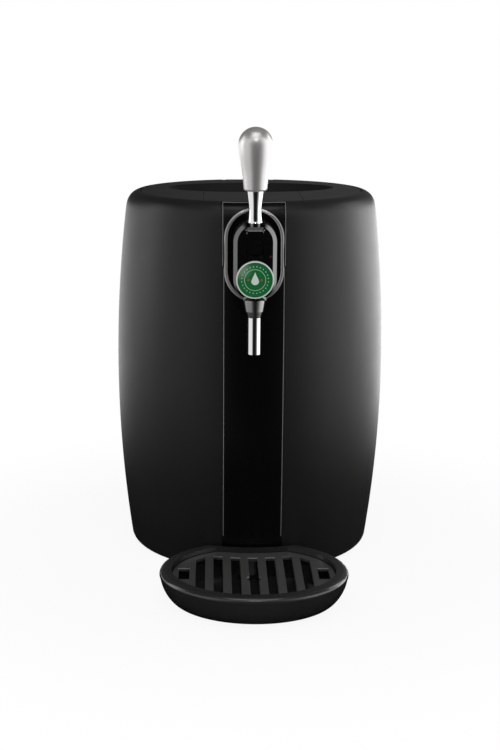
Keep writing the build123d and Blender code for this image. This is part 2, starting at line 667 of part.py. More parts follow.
# Foam jacket round the cup, with a window for the cold block.
with BuildPart() as insulation_jacket:
    with BuildSketch(level(JACKET_FOOT_Z)):
        Circle(JACKET_RADIUS)
    extrude(amount=DECK_UNDER_Z - JACKET_FOOT_Z)
    with BuildSketch(level(CHAMBER_FLOOR_Z - CHAMBER_WALL)):
        Circle(CHAMBER_RADIUS + CHAMBER_WALL)
    extrude(amount=DECK_UNDER_Z, mode=Mode.SUBTRACT)
    with BuildSketch(level(DECK_UNDER_Z - CHAMBER_WALL)):
        Circle(CHAMBER_RADIUS + CHAMBER_FLANGE)
    extrude(amount=DECK_UNDER_Z, mode=Mode.SUBTRACT)
    with BuildSketch(level(HOSE_CHANNEL_LOW_Z)):
        with Locations((0, -BARREL_RADIUS)):
            Rectangle(HOSE_CHANNEL_WIDTH, 2 * (BARREL_RADIUS - MOUTH_RADIUS))
    extrude(amount=DECK_Z, mode=Mode.SUBTRACT)
    with BuildSketch(level(DECK_UNDER_Z - CLAW_POCKET_DEPTH)):
        with Locations((-CLAW_OFFSET, -LATCH_DEPTH), (CLAW_OFFSET, -LATCH_DEPTH)):
            Rectangle(2 * CLAW_WIDTH, CLAW_POCKET_LENGTH)
    extrude(amount=DECK_UNDER_Z, mode=Mode.SUBTRACT)
    with BuildSketch(level(COOLER_Z - COLD_BLOCK_SIZE / 2)):
        with Locations((0, BARREL_RADIUS)):
            Rectangle(COLD_BLOCK_SIZE, 2 * (BARREL_RADIUS - COLD_BLOCK_SIZE))
    extrude(amount=COLD_BLOCK_SIZE, mode=Mode.SUBTRACT)

# Deck round the chamber's mouth that the lid's seal closes on.
with BuildPart() as top_deck:
    with BuildSketch(level(DECK_UNDER_Z)):
        Circle(DECK_RADIUS)
        Circle(MOUTH_RADIUS, mode=Mode.SUBTRACT)
        with Locations((0, -BARREL_RADIUS)):
            Rectangle(HOSE_CHANNEL_WIDTH, 2 * (BARREL_RADIUS - MOUTH_RADIUS + HOSE_CHANNEL_WIDTH),
                      mode=Mode.SUBTRACT)
            Rectangle(BASIN_WIDTH + 2 * (WALL + DECK_GAP),
                      2 * (BARREL_RADIUS - BASIN_FLOOR_DEPTH + WALL + DECK_GAP), mode=Mode.SUBTRACT)
        with Locations((-CLAW_OFFSET, -CLAW_WINDOW_DEPTH), (CLAW_OFFSET, -CLAW_WINDOW_DEPTH)):
            Rectangle(CLAW_WIDTH + CLAW_SIDE_ROOM, CLAW_WINDOW_LENGTH, mode=Mode.SUBTRACT)
    extrude(amount=DECK_THICKNESS)
    add(HINGE_SCREWS, mode=Mode.SUBTRACT)

# ---------------------------------------------------------------- cooling unit
# Saddle of solid aluminium between the cup and the flat thermoelectric module.
with BuildPart() as cold_block:
    with BuildSketch(level(COOLER_Z - COLD_BLOCK_SIZE / 2 + COOLER_CLEARANCE)):
        with Locations((0, COLD_BLOCK_DEPTH / 2)):
            Rectangle(COLD_BLOCK_SIZE - 2 * COOLER_CLEARANCE, COLD_BLOCK_DEPTH)
        Circle(CHAMBER_RADIUS + CHAMBER_WALL, mode=Mode.SUBTRACT)
    extrude(amount=COLD_BLOCK_SIZE - 2 * COOLER_CLEARANCE)

with BuildPart() as peltier_module:
    with BuildSketch(upright(-COLD_BLOCK_DEPTH - PELTIER_THICKNESS, COOLER_Z)):
        Rectangle(PELTIER_SIZE, PELTIER_SIZE)
    extrude(amount=PELTIER_THICKNESS)

with BuildPart() as heat_sink:
    with BuildSketch(upright(-SINK_DEPTH - SINK_BASE, COOLER_Z)):
        Rectangle(SINK_SIZE, SINK_SIZE)
    extrude(amount=SINK_BASE)
    with BuildSketch(upright(-SINK_DEPTH - SINK_BASE - SINK_FIN_DEPTH, COOLER_Z)):
        with GridLocations((SINK_SIZE - FIN_THICKNESS) / (FIN_COUNT - 1), 1, FIN_COUNT, 1):
            Rectangle(FIN_THICKNESS, SINK_SIZE)
    extrude(amount=SINK_FIN_DEPTH)

# Axial fan: a square frame with a round duct, and a rotor on its hub.
with BuildPart() as fan_frame:
    with BuildSketch(upright(-FAN_REAR, COOLER_Z)):
        RectangleRounded(FAN_SIZE, FAN_SIZE, FAN_CORNER)
        Circle(FAN_BORE_RADIUS, mode=Mode.SUBTRACT)
    extrude(amount=FAN_DEPTH)
    with BuildSketch(upright(-FAN_REAR, COOLER_Z)):
        Circle(FAN_HUB_RADIUS)
        with PolarLocations(0, 4, start_angle=45):
            with Locations((FAN_BORE_RADIUS / 2, 0)):
                Rectangle(FAN_BORE_RADIUS + FAN_CORNER / 2, FAN_SPOKE)
    extrude(amount=FAN_BACK)
    with BuildSketch(upright(-FAN_REAR + FAN_BACK, COOLER_Z)):
        Circle(FAN_SHAFT_RADIUS)
    extrude(amount=FAN_SHAFT_LENGTH)

with BuildPart() as fan_rotor:
    with BuildSketch(upright(-FAN_REAR + FAN_BACK + FAN_RUNNING_GAP, COOLER_Z)):
        Circle(FAN_HUB_RADIUS)
    extrude(amount=FAN_HUB_LENGTH)
    with BuildSketch(upright(-FAN_REAR + FAN_BACK, COOLER_Z)):
        Circle(FAN_SHAFT_RADIUS + RUNNING_FIT)
    extrude(amount=FAN_SHAFT_LENGTH + FAN_RUNNING_GAP, mode=Mode.SUBTRACT)
    fillet(fan_rotor.faces().sort_by(Axis.Y)[0].edges().filter_by(GeomType.CIRCLE), FAN_HUB_ROUND)
    blade_middle = FAN_REAR - FAN_BACK - FAN_RUNNING_GAP - FAN_HUB_LENGTH / 2
    for blade in range(BLADE_COUNT):
        angle = math.radians(360 / BLADE_COUNT * blade)
        outward = Vector(math.cos(angle), 0, math.sin(angle))
        hub_side = Vector(0, AXIS_Y + blade_middle, COOLER_Z) + outward * (FAN_HUB_RADIUS - BLADE_ROOT)
        with BuildSketch(Plane(hub_side, x_dir=(0, 1, 0), z_dir=outward)):
            Rectangle(BLADE_CHORD, BLADE_THICKNESS, rotation=BLADE_PITCH)
        extrude(amount=FAN_BORE_RADIUS - FAN_HUB_RADIUS + BLADE_ROOT - BLADE_TIP_GAP)

# ---------------------------------------------------------------- base
def rear_plan(inset):
    """Plan of the rear housing, drawn in by inset, from inside the barrel to the back."""
    front = REAR_PLAN_START
    back = REAR_REACH - inset
    with Locations((0, (front + back) / 2)):
        Rectangle(REAR_WIDTH - 2 * inset, back - front)


SPIGOT_RADIUS = FOOT_RADIUS - WALL - SPIGOT_CLEARANCE

with BuildPart() as base_pan:
    # flared foot of the barrel, with a spigot that stands up inside the casing
    with BuildSketch(side_on()):
        with BuildLine():
            base_edge = (BASE_TOP_RADIUS - BASE_DRAW, FOOT_HEIGHT)
            flare = (BASE_TOP_RADIUS - BASE_BULGE, FOOT_HEIGHT + BASE_FLARE)
            ThreePointArc(base_edge, flare, (BASE_TOP_RADIUS, FOOT_Z))
            Polyline((BASE_TOP_RADIUS, FOOT_Z), (SPIGOT_RADIUS, FOOT_Z), (SPIGOT_RADIUS, SPIGOT_Z),
                     (0, SPIGOT_Z), (0, FOOT_HEIGHT), base_edge)
        make_face()
    revolve(axis=BARREL_AXIS)
    # flat foot of the rear housing
    with BuildSketch(level(FOOT_HEIGHT)) as base_outline:
        rear_plan(BASE_REAR_INSET)
        fillet(base_outline.vertices().group_by(Axis.Y)[-1], REAR_CORNER - BASE_REAR_INSET)
    extrude(amount=FOOT_Z - FOOT_HEIGHT)
    with BuildSketch(level(FOOT_HEIGHT + BASE_FLOOR)):
        Circle(SPIGOT_RADIUS - BASE_FLOOR)
    extrude(amount=SPIGOT_Z, mode=Mode.SUBTRACT)
    with BuildSketch(level(FOOT_HEIGHT + BASE_FLOOR)) as base_hollow:
        rear_plan(BASE_REAR_INSET + BASE_FLOOR)
        fillet(base_hollow.vertices().group_by(Axis.Y)[-1], REAR_CORNER - BASE_REAR_INSET - BASE_FLOOR)
    extrude(amount=SPIGOT_Z, mode=Mode.SUBTRACT)
    with BuildSketch(level(FOOT_HEIGHT + BASE_FLOOR)):
        Circle(SUPPORT_RADIUS)
        Circle(SUPPORT_RADIUS - SUPPORT_WALL, mode=Mode.SUBTRACT)
    extrude(amount=JACKET_FOOT_Z - FOOT_HEIGHT - BASE_FLOOR)
    with BuildSketch(upright(FOOT_RADIUS, TONGUE_Z)):
        Rectangle(TONGUE_WIDTH + 2 * TONGUE_CLEARANCE, TONGUE_THICKNESS + 2 * TONGUE_CLEARANCE)
    extrude(amount=FOOT_RADIUS - SPIGOT_RADIUS + 2 * BASE_FLOOR, both=True, mode=Mode.SUBTRACT)
    # bosses for the rear housing's screws
    with BuildSketch(level(FOOT_HEIGHT + BASE_FLOOR)):
        with Locations((-BOSS_X, BOSS_DEPTH), (BOSS_X, BOSS_DEPTH)):
            Rectangle(BOSS_WIDTH, BOSS_LENGTH)
    extrude(amount=BOSS_HEIGHT)
    add(BASE_SCREWS, mode=Mode.SUBTRACT)
    add(HOUSING_SCREWS, mode=Mode.SUBTRACT)

with BuildPart() as base_screws:
    add(BASE_SCREWS)

with BuildPart() as housing_screws:
    add(HOUSING_SCREWS)

with BuildPart() as rubber_feet:
    with BuildSketch(level(0)):
        with PolarLocations(FOOT_CIRCLE_RADIUS, 4, start_angle=45):
            Circle(RUBBER_FOOT_RADIUS)
    extrude(amount=FOOT_HEIGHT)
    chamfer(rubber_feet.edges().group_by(Axis.Z)[0], RUBBER_FOOT_EDGE)

with BuildPart() as power_supply:
    with BuildSketch(level(FOOT_HEIGHT + BASE_FLOOR)):
        with Locations((0, PSU_SHIFT)):
            RectangleRounded(PSU_LENGTH, PSU_WIDTH, PSU_CORNER)
    extrude(amount=PSU_HEIGHT)

with BuildPart() as control_board:
    with BuildSketch(level(BOARD_Z)):
        with Locations((0, -BOARD_SHIFT)):
            Rectangle(BOARD_LENGTH, BOARD_WIDTH)
    extrude(amount=BOARD_THICKNESS)
    with BuildSketch(level(FOOT_HEIGHT + BASE_FLOOR)):
        with Locations((0, -BOARD_SHIFT)):
            with GridLocations(BOARD_LENGTH - BOARD_EDGE, BOARD_WIDTH - BOARD_EDGE, 2, 2):
                Circle(PILLAR_RADIUS)
    extrude(amount=BOARD_Z - FOOT_HEIGHT - BASE_FLOOR)
    with BuildSketch(level(BOARD_Z + BOARD_THICKNESS)):
        with Locations((0, -BOARD_SHIFT)):
            with GridLocations(BOARD_LENGTH / 3, 1, 2, 1):
                Rectangle(RELAY_LENGTH, RELAY_WIDTH)
    extrude(amount=RELAY_HEIGHT)

# ---------------------------------------------------------------- rear housing
def rear_block(inset, low, high):
    """The rear housing as a solid, drawn in by inset, with a sloping top edge."""
    with BuildPart() as block:
        with BuildSketch(level(low)) as outline:
            rear_plan(inset)
            fillet(outline.vertices().group_by(Axis.Y)[-1], REAR_CORNER - inset)
        extrude(amount=high - low)
        with BuildSketch(side_on()):
            with BuildLine():
                beyond = REAR_REACH + WALL
                Polyline((REAR_REACH - inset - REAR_SLOPE_LENGTH, high), (beyond, high),
                         (beyond, high - REAR_SLOPE), (REAR_REACH - inset, high - REAR_SLOPE), close=True)
            make_face()
        extrude(amount=REAR_WIDTH, both=True, mode=Mode.SUBTRACT)
    return block.part


GRILLE_MIDDLE_Z = (GRILLE_LOW_Z + GRILLE_HIGH_Z) / 2
GRILLE_HEIGHT = GRILLE_HIGH_Z - GRILLE_LOW_Z
REAR_OUTER = rear_block(0, FOOT_Z, REAR_TOP_Z)
REAR_INNER = rear_block(WALL, FOOT_Z - CUT, REAR_TOP_Z - WALL)

with BuildPart() as rear_housing:
    add(REAR_OUTER)
    add(REAR_INNER, mode=Mode.SUBTRACT)
    with BuildSketch(level(0)):
        Circle(REAR_TUCK_RADIUS)
    extrude(amount=TOP_Z, mode=Mode.SUBTRACT)
    with BuildSketch(upright(-REAR_REACH - CUT, GRILLE_MIDDLE_Z)):
        Rectangle(GRILLE_WIDTH + SEAM, GRILLE_HEIGHT + SEAM)
    extrude(amount=2 * WALL, mode=Mode.SUBTRACT)
    with BuildSketch(upright(-REAR_REACH - CUT)):
        with Locations((SWITCH_X, SWITCH_Z)):
            Rectangle(SWITCH_WIDTH + SEAM, SWITCH_HEIGHT + SEAM)
        with Locations((INLET_X, SWITCH_Z)):
            Rectangle(INLET_WIDTH + SEAM, INLET_HEIGHT + SEAM)
    extrude(amount=2 * WALL, mode=Mode.SUBTRACT)
    add(HOUSING_SCREWS, mode=Mode.SUBTRACT)

# Moulded louvre panel that the fan blows through.
with BuildPart() as rear_grille:
    with BuildSketch(upright(-REAR_REACH, GRILLE_MIDDLE_Z)):
        Rectangle(GRILLE_WIDTH, GRILLE_HEIGHT)
    extrude(amount=WALL)
    with BuildSketch(upright(-REAR_REACH + WALL + GRILLE_FLANGE, GRILLE_MIDDLE_Z)):
        Rectangle(GRILLE_WIDTH + 2 * GRILLE_LAP, GRILLE_HEIGHT + 2 * GRILLE_LAP)
        Rectangle(GRILLE_WIDTH - 2 * GRILLE_LAP, GRILLE_HEIGHT - 2 * GRILLE_LAP, mode=Mode.SUBTRACT)
    extrude(amount=-GRILLE_FLANGE)
    with BuildSketch(upright(-REAR_REACH - CUT, GRILLE_MIDDLE_Z)):
        with GridLocations(1, LOUVRE_PITCH, 1, int((GRILLE_HEIGHT - 2 * LOUVRE_PITCH) / LOUVRE_PITCH)):
            SlotOverall(GRILLE_WIDTH - 2 * LOUVRE_PITCH, LOUVRE_HEIGHT)
    extrude(amount=2 * WALL, mode=Mode.SUBTRACT)

# Mains switch: a frame with a well, and a rocker on two trunnions.
with BuildPart() as switch_bezel:
    with BuildSketch(upright(-REAR_REACH)):
        with Locations((SWITCH_X, SWITCH_Z)):
            Rectangle(SWITCH_WIDTH, SWITCH_HEIGHT)
    extrude(amount=SWITCH_BODY_DEPTH)
    with BuildSketch(upright(-REAR_REACH)):
        with Locations((SWITCH_X, SWITCH_Z)):
            Rectangle(ROCKER_WIDTH + 2 * ROCKER_GAP, ROCKER_HEIGHT + 2 * ROCKER_GAP)
    extrude(amount=SWITCH_BODY_DEPTH - WALL, mode=Mode.SUBTRACT)
    with BuildSketch(side_on(SWITCH_X - TRUNNION_LENGTH / 2)):
        with Locations((ROCKER_AXIS_DEPTH, SWITCH_Z)):
            Circle(TRUNNION_RADIUS + RUNNING_FIT)
    extrude(amount=TRUNNION_LENGTH, mode=Mode.SUBTRACT)

with BuildPart() as power_rocker:
    with BuildSketch(side_on(SWITCH_X - ROCKER_WIDTH / 2)):
        with BuildLine():
            high = SWITCH_Z + ROCKER_HEIGHT / 2
            low = SWITCH_Z - ROCKER_HEIGHT / 2
            Polyline((ROCKER_AXIS_DEPTH - ROCKER_ROOT / 2, high - ROCKER_EDGE),
                     (ROCKER_AXIS_DEPTH + ROCKER_FACE - ROCKER_TILT, high),
                     (ROCKER_AXIS_DEPTH + ROCKER_FACE, SWITCH_Z),
                     (ROCKER_AXIS_DEPTH + ROCKER_FACE + ROCKER_TILT, low),
                     (ROCKER_AXIS_DEPTH, low + ROCKER_EDGE),
                     (ROCKER_AXIS_DEPTH - ROCKER_ROOT, SWITCH_Z), close=True)
        make_face()
    extrude(amount=ROCKER_WIDTH)
    with BuildSketch(side_on(SWITCH_X - TRUNNION_LENGTH / 2 + RUNNING_FIT)):
        with Locations((ROCKER_AXIS_DEPTH, SWITCH_Z)):
            Circle(TRUNNION_RADIUS)
    extrude(amount=TRUNNION_LENGTH - 2 * RUNNING_FIT)

# Mains inlet with its three blades.
with BuildPart() as mains_inlet:
    with BuildSketch(upright(-REAR_REACH)):
        with Locations((INLET_X, SWITCH_Z)):
            Rectangle(INLET_WIDTH, INLET_HEIGHT)
    extrude(amount=INLET_DEPTH)
    with BuildSketch(upright(-REAR_REACH)) as inlet_well:
        with Locations((INLET_X, SWITCH_Z)):
            Rectangle(INLET_WIDTH - 2 * WALL, INLET_HEIGHT - 2 * WALL)
        chamfer(inlet_well.vertices().group_by(Axis.Z)[-1], INLET_CORNER)
    extrude(amount=INLET_DEPTH - WALL, mode=Mode.SUBTRACT)

with BuildPart() as inlet_pins:
    with BuildSketch(upright(-REAR_REACH + INLET_DEPTH - WALL)):
        with Locations((INLET_X, SWITCH_Z)):
            with Locations((-INLET_PIN_PITCH, -INLET_PIN_DROP), (0, INLET_PIN_DROP),
                           (INLET_PIN_PITCH, -INLET_PIN_DROP)):
                Rectangle(INLET_PIN_WIDTH, 2 * INLET_PIN_WIDTH)
    extrude(amount=-(INLET_DEPTH - 2 * WALL))


# ---------------------------------------------------------------- lid
def dish(depth_below, inset):
    """The dish hollow as a solid: an oval that narrows as it goes down."""
    with BuildPart() as hollow:
        with BuildSketch(level(TOP_Z)):
            with Locations((0, DISH_CENTRE_DEPTH)):
                Ellipse(DISH_LENGTH_X / 2 - inset, DISH_LENGTH_Y / 2 - inset)
        with BuildSketch(level(TOP_Z - depth_below)):
            with Locations((0, DISH_CENTRE_DEPTH)):
                Ellipse(DISH_LENGTH_X / 2 - inset - DISH_SLOPE, DISH_LENGTH_Y / 2 - inset - DISH_SLOPE)
        loft(ruled=True)
    return hollow.part


def lid_blank():
    """The lid's disc with its bevelled edge and its dish, before the paddle's pocket."""
    with BuildPart() as blank:
        with BuildSketch(side_on()):
            with BuildLine():
                Polyline((0, LID_UNDER_Z), (LID_RADIUS - LID_BEVEL, LID_UNDER_Z),
                         (LID_RADIUS - LID_BEVEL, TOP_Z - LID_BEVEL_HEIGHT),
                         (LID_RADIUS, TOP_Z - LID_EDGE_ROUND), (LID_RADIUS - LID_EDGE_ROUND, TOP_Z),
                         (0, TOP_Z), close=True)
            make_face()
        revolve(axis=BARREL_AXIS)
        add(dish(DISH_DROP + LID_SKIN, -LID_SKIN))
        add(dish(DISH_DROP, 0), mode=Mode.SUBTRACT)
        floor_z = TOP_Z - DISH_DROP
        fillet(blank.edges().filter_by_position(Axis.Z, floor_z - TOUCH, floor_z + TOUCH), DISH_FLOOR_ROUND)
    return blank.part


def paddle_plan(gap):
    """Plan of the wide paddle between the dish and the lid's front edge."""
    Rectangle(PADDLE_WIDTH + 2 * gap, 2 * LID_RADIUS)
    Circle(LID_RADIUS, mode=Mode.INTERSECT)
    with Locations((0, LID_RADIUS + DISH_CENTRE_DEPTH)):
        Rectangle(2 * LID_RADIUS, 2 * LID_RADIUS, mode=Mode.SUBTRACT)
    with Locations((0, DISH_CENTRE_DEPTH)):
        Ellipse(DISH_LENGTH_X / 2 - gap, DISH_LENGTH_Y / 2 - gap, mode=Mode.SUBTRACT)


LID_BLANK = lid_blank()
POCKET_Z = LID_UNDER_Z + POCKET_FLOOR
PADDLE_LUG_X = PADDLE_WIDTH / 2 - PADDLE_LUG_INSET

with BuildPart() as lid_outer:
    add(LID_BLANK)
    with BuildSketch(level(POCKET_Z)):
        paddle_plan(PADDLE_GAP)
    extrude(amount=LID_THICKNESS, mode=Mode.SUBTRACT)
    # hole for the paddle's push stud
    with BuildSketch(level(LID_UNDER_Z)):
        with Locations((0, -STUD_DEPTH)):
            Circle(STUD_RADIUS + PADDLE_GAP)
    extrude(amount=LID_THICKNESS, mode=Mode.SUBTRACT)
    # ears that carry the latch pin
    with BuildSketch(level(LID_UNDER_Z)):
        with Locations((-EAR_X, -LATCH_DEPTH), (EAR_X, -LATCH_DEPTH)):
            Rectangle(EAR_THICKNESS, 2 * LATCH_TUBE_RADIUS)
    extrude(amount=-(LID_UNDER_Z - LATCH_Z + LATCH_TUBE_RADIUS))
    with BuildSketch(side_on(-EAR_X - EAR_THICKNESS)):
        with Locations((-LATCH_DEPTH, LATCH_Z)):
            Circle(LATCH_PIN_RADIUS)
    extrude(amount=2 * (EAR_X + EAR_THICKNESS), mode=Mode.SUBTRACT)
    # holes for the paddle's pivot pin
    with BuildSketch(side_on(-PADDLE_PIN_LENGTH / 2)):
        with Locations((-PADDLE_PIVOT_DEPTH, PADDLE_PIVOT_Z)):
            Circle(PADDLE_PIN_RADIUS)
    extrude(amount=PADDLE_PIN_LENGTH, mode=Mode.SUBTRACT)
    # tongue over the rear rim, ending in the hinge knuckle
    with BuildSketch(side_on(-HINGE_TONGUE_WIDTH / 2)):
        with BuildLine():
            root = LID_RADIUS - TONGUE_ROOT
            edge = (LID_RADIUS, TOP_Z)
            knuckle_top = (HINGE_DEPTH + HINGE_NECK, HINGE_Z + HINGE_NECK)
            ThreePointArc(edge, (HINGE_DEPTH - HINGE_NECK, TOP_Z - HINGE_TONGUE_DIP), knuckle_top)
            Polyline(knuckle_top, (HINGE_DEPTH - HINGE_NECK, HINGE_Z - HINGE_NECK),
                     (LID_RADIUS - LID_BEVEL, LID_UNDER_Z), (root, LID_UNDER_Z), (root, TOP_Z), edge)
        make_face()
        with Locations((HINGE_DEPTH, HINGE_Z)):
            Circle(HINGE_KNUCKLE_RADIUS)
            Circle(HINGE_PIN_RADIUS + RUNNING_FIT, mode=Mode.SUBTRACT)
    extrude(amount=HINGE_TONGUE_WIDTH)

with BuildPart() as lid_hinge_pin:
    with BuildSketch(side_on(-HINGE_TONGUE_WIDTH / 2 - HINGE_LUG_GAP - HINGE_LUG)):
        with Locations((HINGE_DEPTH, HINGE_Z)):
            Circle(HINGE_PIN_RADIUS)
    extrude(amount=HINGE_TONGUE_WIDTH + 2 * HINGE_LUG_GAP + 2 * HINGE_LUG)

# Bracket on the deck with a lug at each end of the lid's knuckle.
with BuildPart() as hinge_bracket:
    with BuildSketch(level(DECK_Z)):
        with Locations((0, HINGE_PLATE_MIDDLE)):
            Rectangle(HINGE_TONGUE_WIDTH + 2 * HINGE_LUG_GAP + 2 * HINGE_LUG, HINGE_PLATE_LENGTH)
    extrude(amount=HINGE_PLATE)
    for lug_x in (-HINGE_TONGUE_WIDTH / 2 - HINGE_LUG_GAP - HINGE_LUG, HINGE_TONGUE_WIDTH / 2 + HINGE_LUG_GAP):
        with BuildSketch(side_on(lug_x)):
            with Locations((HINGE_DEPTH, HINGE_Z)):
                Circle(HINGE_KNUCKLE_RADIUS)
            with BuildLine():
                plate_rear = HINGE_DEPTH - HINGE_PLATE_BACK
                Polyline((HINGE_DEPTH + HINGE_LUG_BREAST, HINGE_Z - HINGE_LUG_CHEEK), (plate_rear, DECK_Z),
                         (plate_rear - HINGE_PLATE_LENGTH, DECK_Z),
                         (HINGE_DEPTH - HINGE_LUG_BREAST, HINGE_Z + HINGE_LUG_CHEEK), close=True)
            make_face()
            with Locations((HINGE_DEPTH, HINGE_Z)):
                Circle(HINGE_PIN_RADIUS, mode=Mode.SUBTRACT)
        extrude(amount=HINGE_LUG)
    add(HINGE_SCREWS, mode=Mode.SUBTRACT)

with BuildPart() as hinge_screws:
    add(HINGE_SCREWS)

# Paddle that frees the lid when its front is pressed.
with BuildPart() as lid_release_paddle:
    add(LID_BLANK)
    with BuildSketch(level(TOP_Z - PADDLE_THICKNESS)):
        paddle_plan(0)
    extrude(amount=PADDLE_THICKNESS, mode=Mode.INTERSECT)
    for lug_x in (-PADDLE_LUG_X - PADDLE_LUG / 2, PADDLE_LUG_X - PADDLE_LUG / 2):
        with BuildSketch(side_on(lug_x)):
            with Locations((-PADDLE_PIVOT_DEPTH, PADDLE_PIVOT_Z)):
                Circle(PADDLE_LUG_RADIUS)
            with Locations((-PADDLE_PIVOT_DEPTH, (PADDLE_PIVOT_Z + TOP_Z - PADDLE_ROOT) / 2)):
                Rectangle(2 * PADDLE_LUG_RADIUS, TOP_Z - PADDLE_ROOT - PADDLE_PIVOT_Z)
            with Locations((-PADDLE_PIVOT_DEPTH, PADDLE_PIVOT_Z)):
                Circle(PADDLE_PIN_RADIUS + RUNNING_FIT, mode=Mode.SUBTRACT)
        extrude(amount=PADDLE_LUG)
    with BuildSketch(level(STUD_LOW_Z)):
        with Locations((0, -STUD_DEPTH)):
            Circle(STUD_RADIUS)
    extrude(amount=TOP_Z - PADDLE_ROOT - STUD_LOW_Z)

with BuildPart() as paddle_pin:
    with BuildSketch(side_on(-PADDLE_PIN_LENGTH / 2)):
        with Locations((-PADDLE_PIVOT_DEPTH, PADDLE_PIVOT_Z)):
            Circle(PADDLE_PIN_RADIUS)
    extrude(amount=PADDLE_PIN_LENGTH)

PADDLE_SPRING = coil_spring(Plane((0, AXIS_Y - PADDLE_SPRING_DEPTH, POCKET_Z)), PADDLE_SPRING_RADIUS,
                            PADDLE_SPRING_WIRE, TOP_Z - PADDLE_THICKNESS - POCKET_Z, PADDLE_SPRING_TURNS)
with BuildPart() as paddle_spring:
    add(PADDLE_SPRING)

# Latch: a tube on its pin, with two claws that hook under the deck and a short arm
# below the paddle's stud.
with BuildPart() as lid_latch:
    with BuildSketch(side_on(-EAR_X + EAR_THICKNESS / 2 + EAR_GAP)):
        with Locations((-LATCH_DEPTH, LATCH_Z)):
            Circle(LATCH_TUBE_RADIUS)
            Circle(LATCH_PIN_RADIUS + RUNNING_FIT, mode=Mode.SUBTRACT)
    extrude(amount=2 * EAR_X - EAR_THICKNESS - 2 * EAR_GAP)
    for claw_x in (-CLAW_OFFSET - CLAW_WIDTH / 2, CLAW_OFFSET - CLAW_WIDTH / 2):
        with BuildSketch(side_on(claw_x)):
            with BuildLine():
                front = -LATCH_DEPTH - CLAW_FRONT
                shank = -LATCH_DEPTH + CLAW_SHANK
                nose = -LATCH_DEPTH + CLAW_NOSE
                nose_top = DECK_UNDER_Z - CLAW_BITE_GAP
                Polyline((front, LATCH_Z), (front, CLAW_TIP_Z), (-LATCH_DEPTH + CLAW_TOE, CLAW_TIP_Z),
                         (nose, CLAW_TIP_Z + CLAW_NOSE_RISE), (nose, nose_top), (shank, nose_top),
                         (shank, LATCH_Z), close=True)
            make_face()
            with Locations((-LATCH_DEPTH, LATCH_Z)):
                Circle(LATCH_TUBE_RADIUS)
                Circle(LATCH_PIN_RADIUS + RUNNING_FIT, mode=Mode.SUBTRACT)
        extrude(amount=CLAW_WIDTH)
    with BuildSketch(side_on(-ARM_WIDTH / 2)):
        with Locations((-LATCH_DEPTH + (LATCH_PIN_RADIUS + ARM_ROOT + ARM_LENGTH) / 2, LATCH_Z + ARM_LIFT)):
            Rectangle(ARM_LENGTH - LATCH_PIN_RADIUS - ARM_ROOT, ARM_THICKNESS)
    extrude(amount=ARM_WIDTH)

with BuildPart() as latch_pin:
    with BuildSketch(side_on(-EAR_X - EAR_THICKNESS / 2)):
        with Locations((-LATCH_DEPTH, LATCH_Z)):
            Circle(LATCH_PIN_RADIUS)
    extrude(amount=2 * EAR_X + EAR_THICKNESS)

# Inner cover with the plug that closes the chamber's mouth, its foam and its seal.
with BuildPart() as lid_liner:
    with BuildSketch(side_on()):
        with BuildLine():
            inner_radius = PLUG_RADIUS - LINER_WALL
            inner_z = PLUG_LOW_Z + LINER_WALL
            Polyline((0, PLUG_LOW_Z), (PLUG_RADIUS - PLUG_CORNER, PLUG_LOW_Z),
                     (PLUG_RADIUS, PLUG_LOW_Z + PLUG_CORNER), (PLUG_RADIUS, SEAL_TOP_Z),
                     (LINER_RADIUS, SEAL_TOP_Z), (LINER_RADIUS, LID_UNDER_Z), (inner_radius, LID_UNDER_Z),
                     (inner_radius, inner_z + PLUG_CORNER / 2), (inner_radius - PLUG_CORNER / 2, inner_z),
                     (0, inner_z), close=True)
        make_face()
    revolve(axis=BARREL_AXIS)
    add(dish(DISH_DROP + LID_SKIN, -LID_SKIN), mode=Mode.SUBTRACT)

with BuildPart() as lid_insulation:
    with BuildSketch(level(PLUG_LOW_Z + LINER_WALL)):
        Circle(PLUG_RADIUS - LINER_WALL - FOAM_CLEARANCE)
    extrude(amount=LID_UNDER_Z - PLUG_LOW_Z - LINER_WALL)
    add(dish(DISH_DROP + LID_SKIN, -LID_SKIN), mode=Mode.SUBTRACT)

with BuildPart() as lid_gasket:
    with BuildSketch(side_on()):
        with BuildLine():
            Polyline((SEAL_RADIUS - SEAL_ROOT, SEAL_TOP_Z), (SEAL_RADIUS - SEAL_TIP, DECK_Z + SEAL_GAP),
                     (SEAL_RADIUS + SEAL_TIP, DECK_Z + SEAL_GAP), (SEAL_RADIUS + SEAL_ROOT, SEAL_TOP_Z),
                     close=True)
        make_face()
    revolve(axis=BARREL_AXIS)


# ---------------------------------------------------------------- tap
def tap_outline(inset):
    """Front outline of the tap: a round-ended capsule with a flat seat for the nozzle."""
    stadium(TAP_WIDTH - 2 * inset, TAP_LOW_Z + inset, TAP_HIGH_Z - inset)
    with Locations((0, TAP_LOW_Z + TAP_RADIUS / 2 + NOZZLE_SEAT_GAP)):
        Rectangle(2 * NOZZLE_TOP_RADIUS - 2 * inset, TAP_RADIUS)


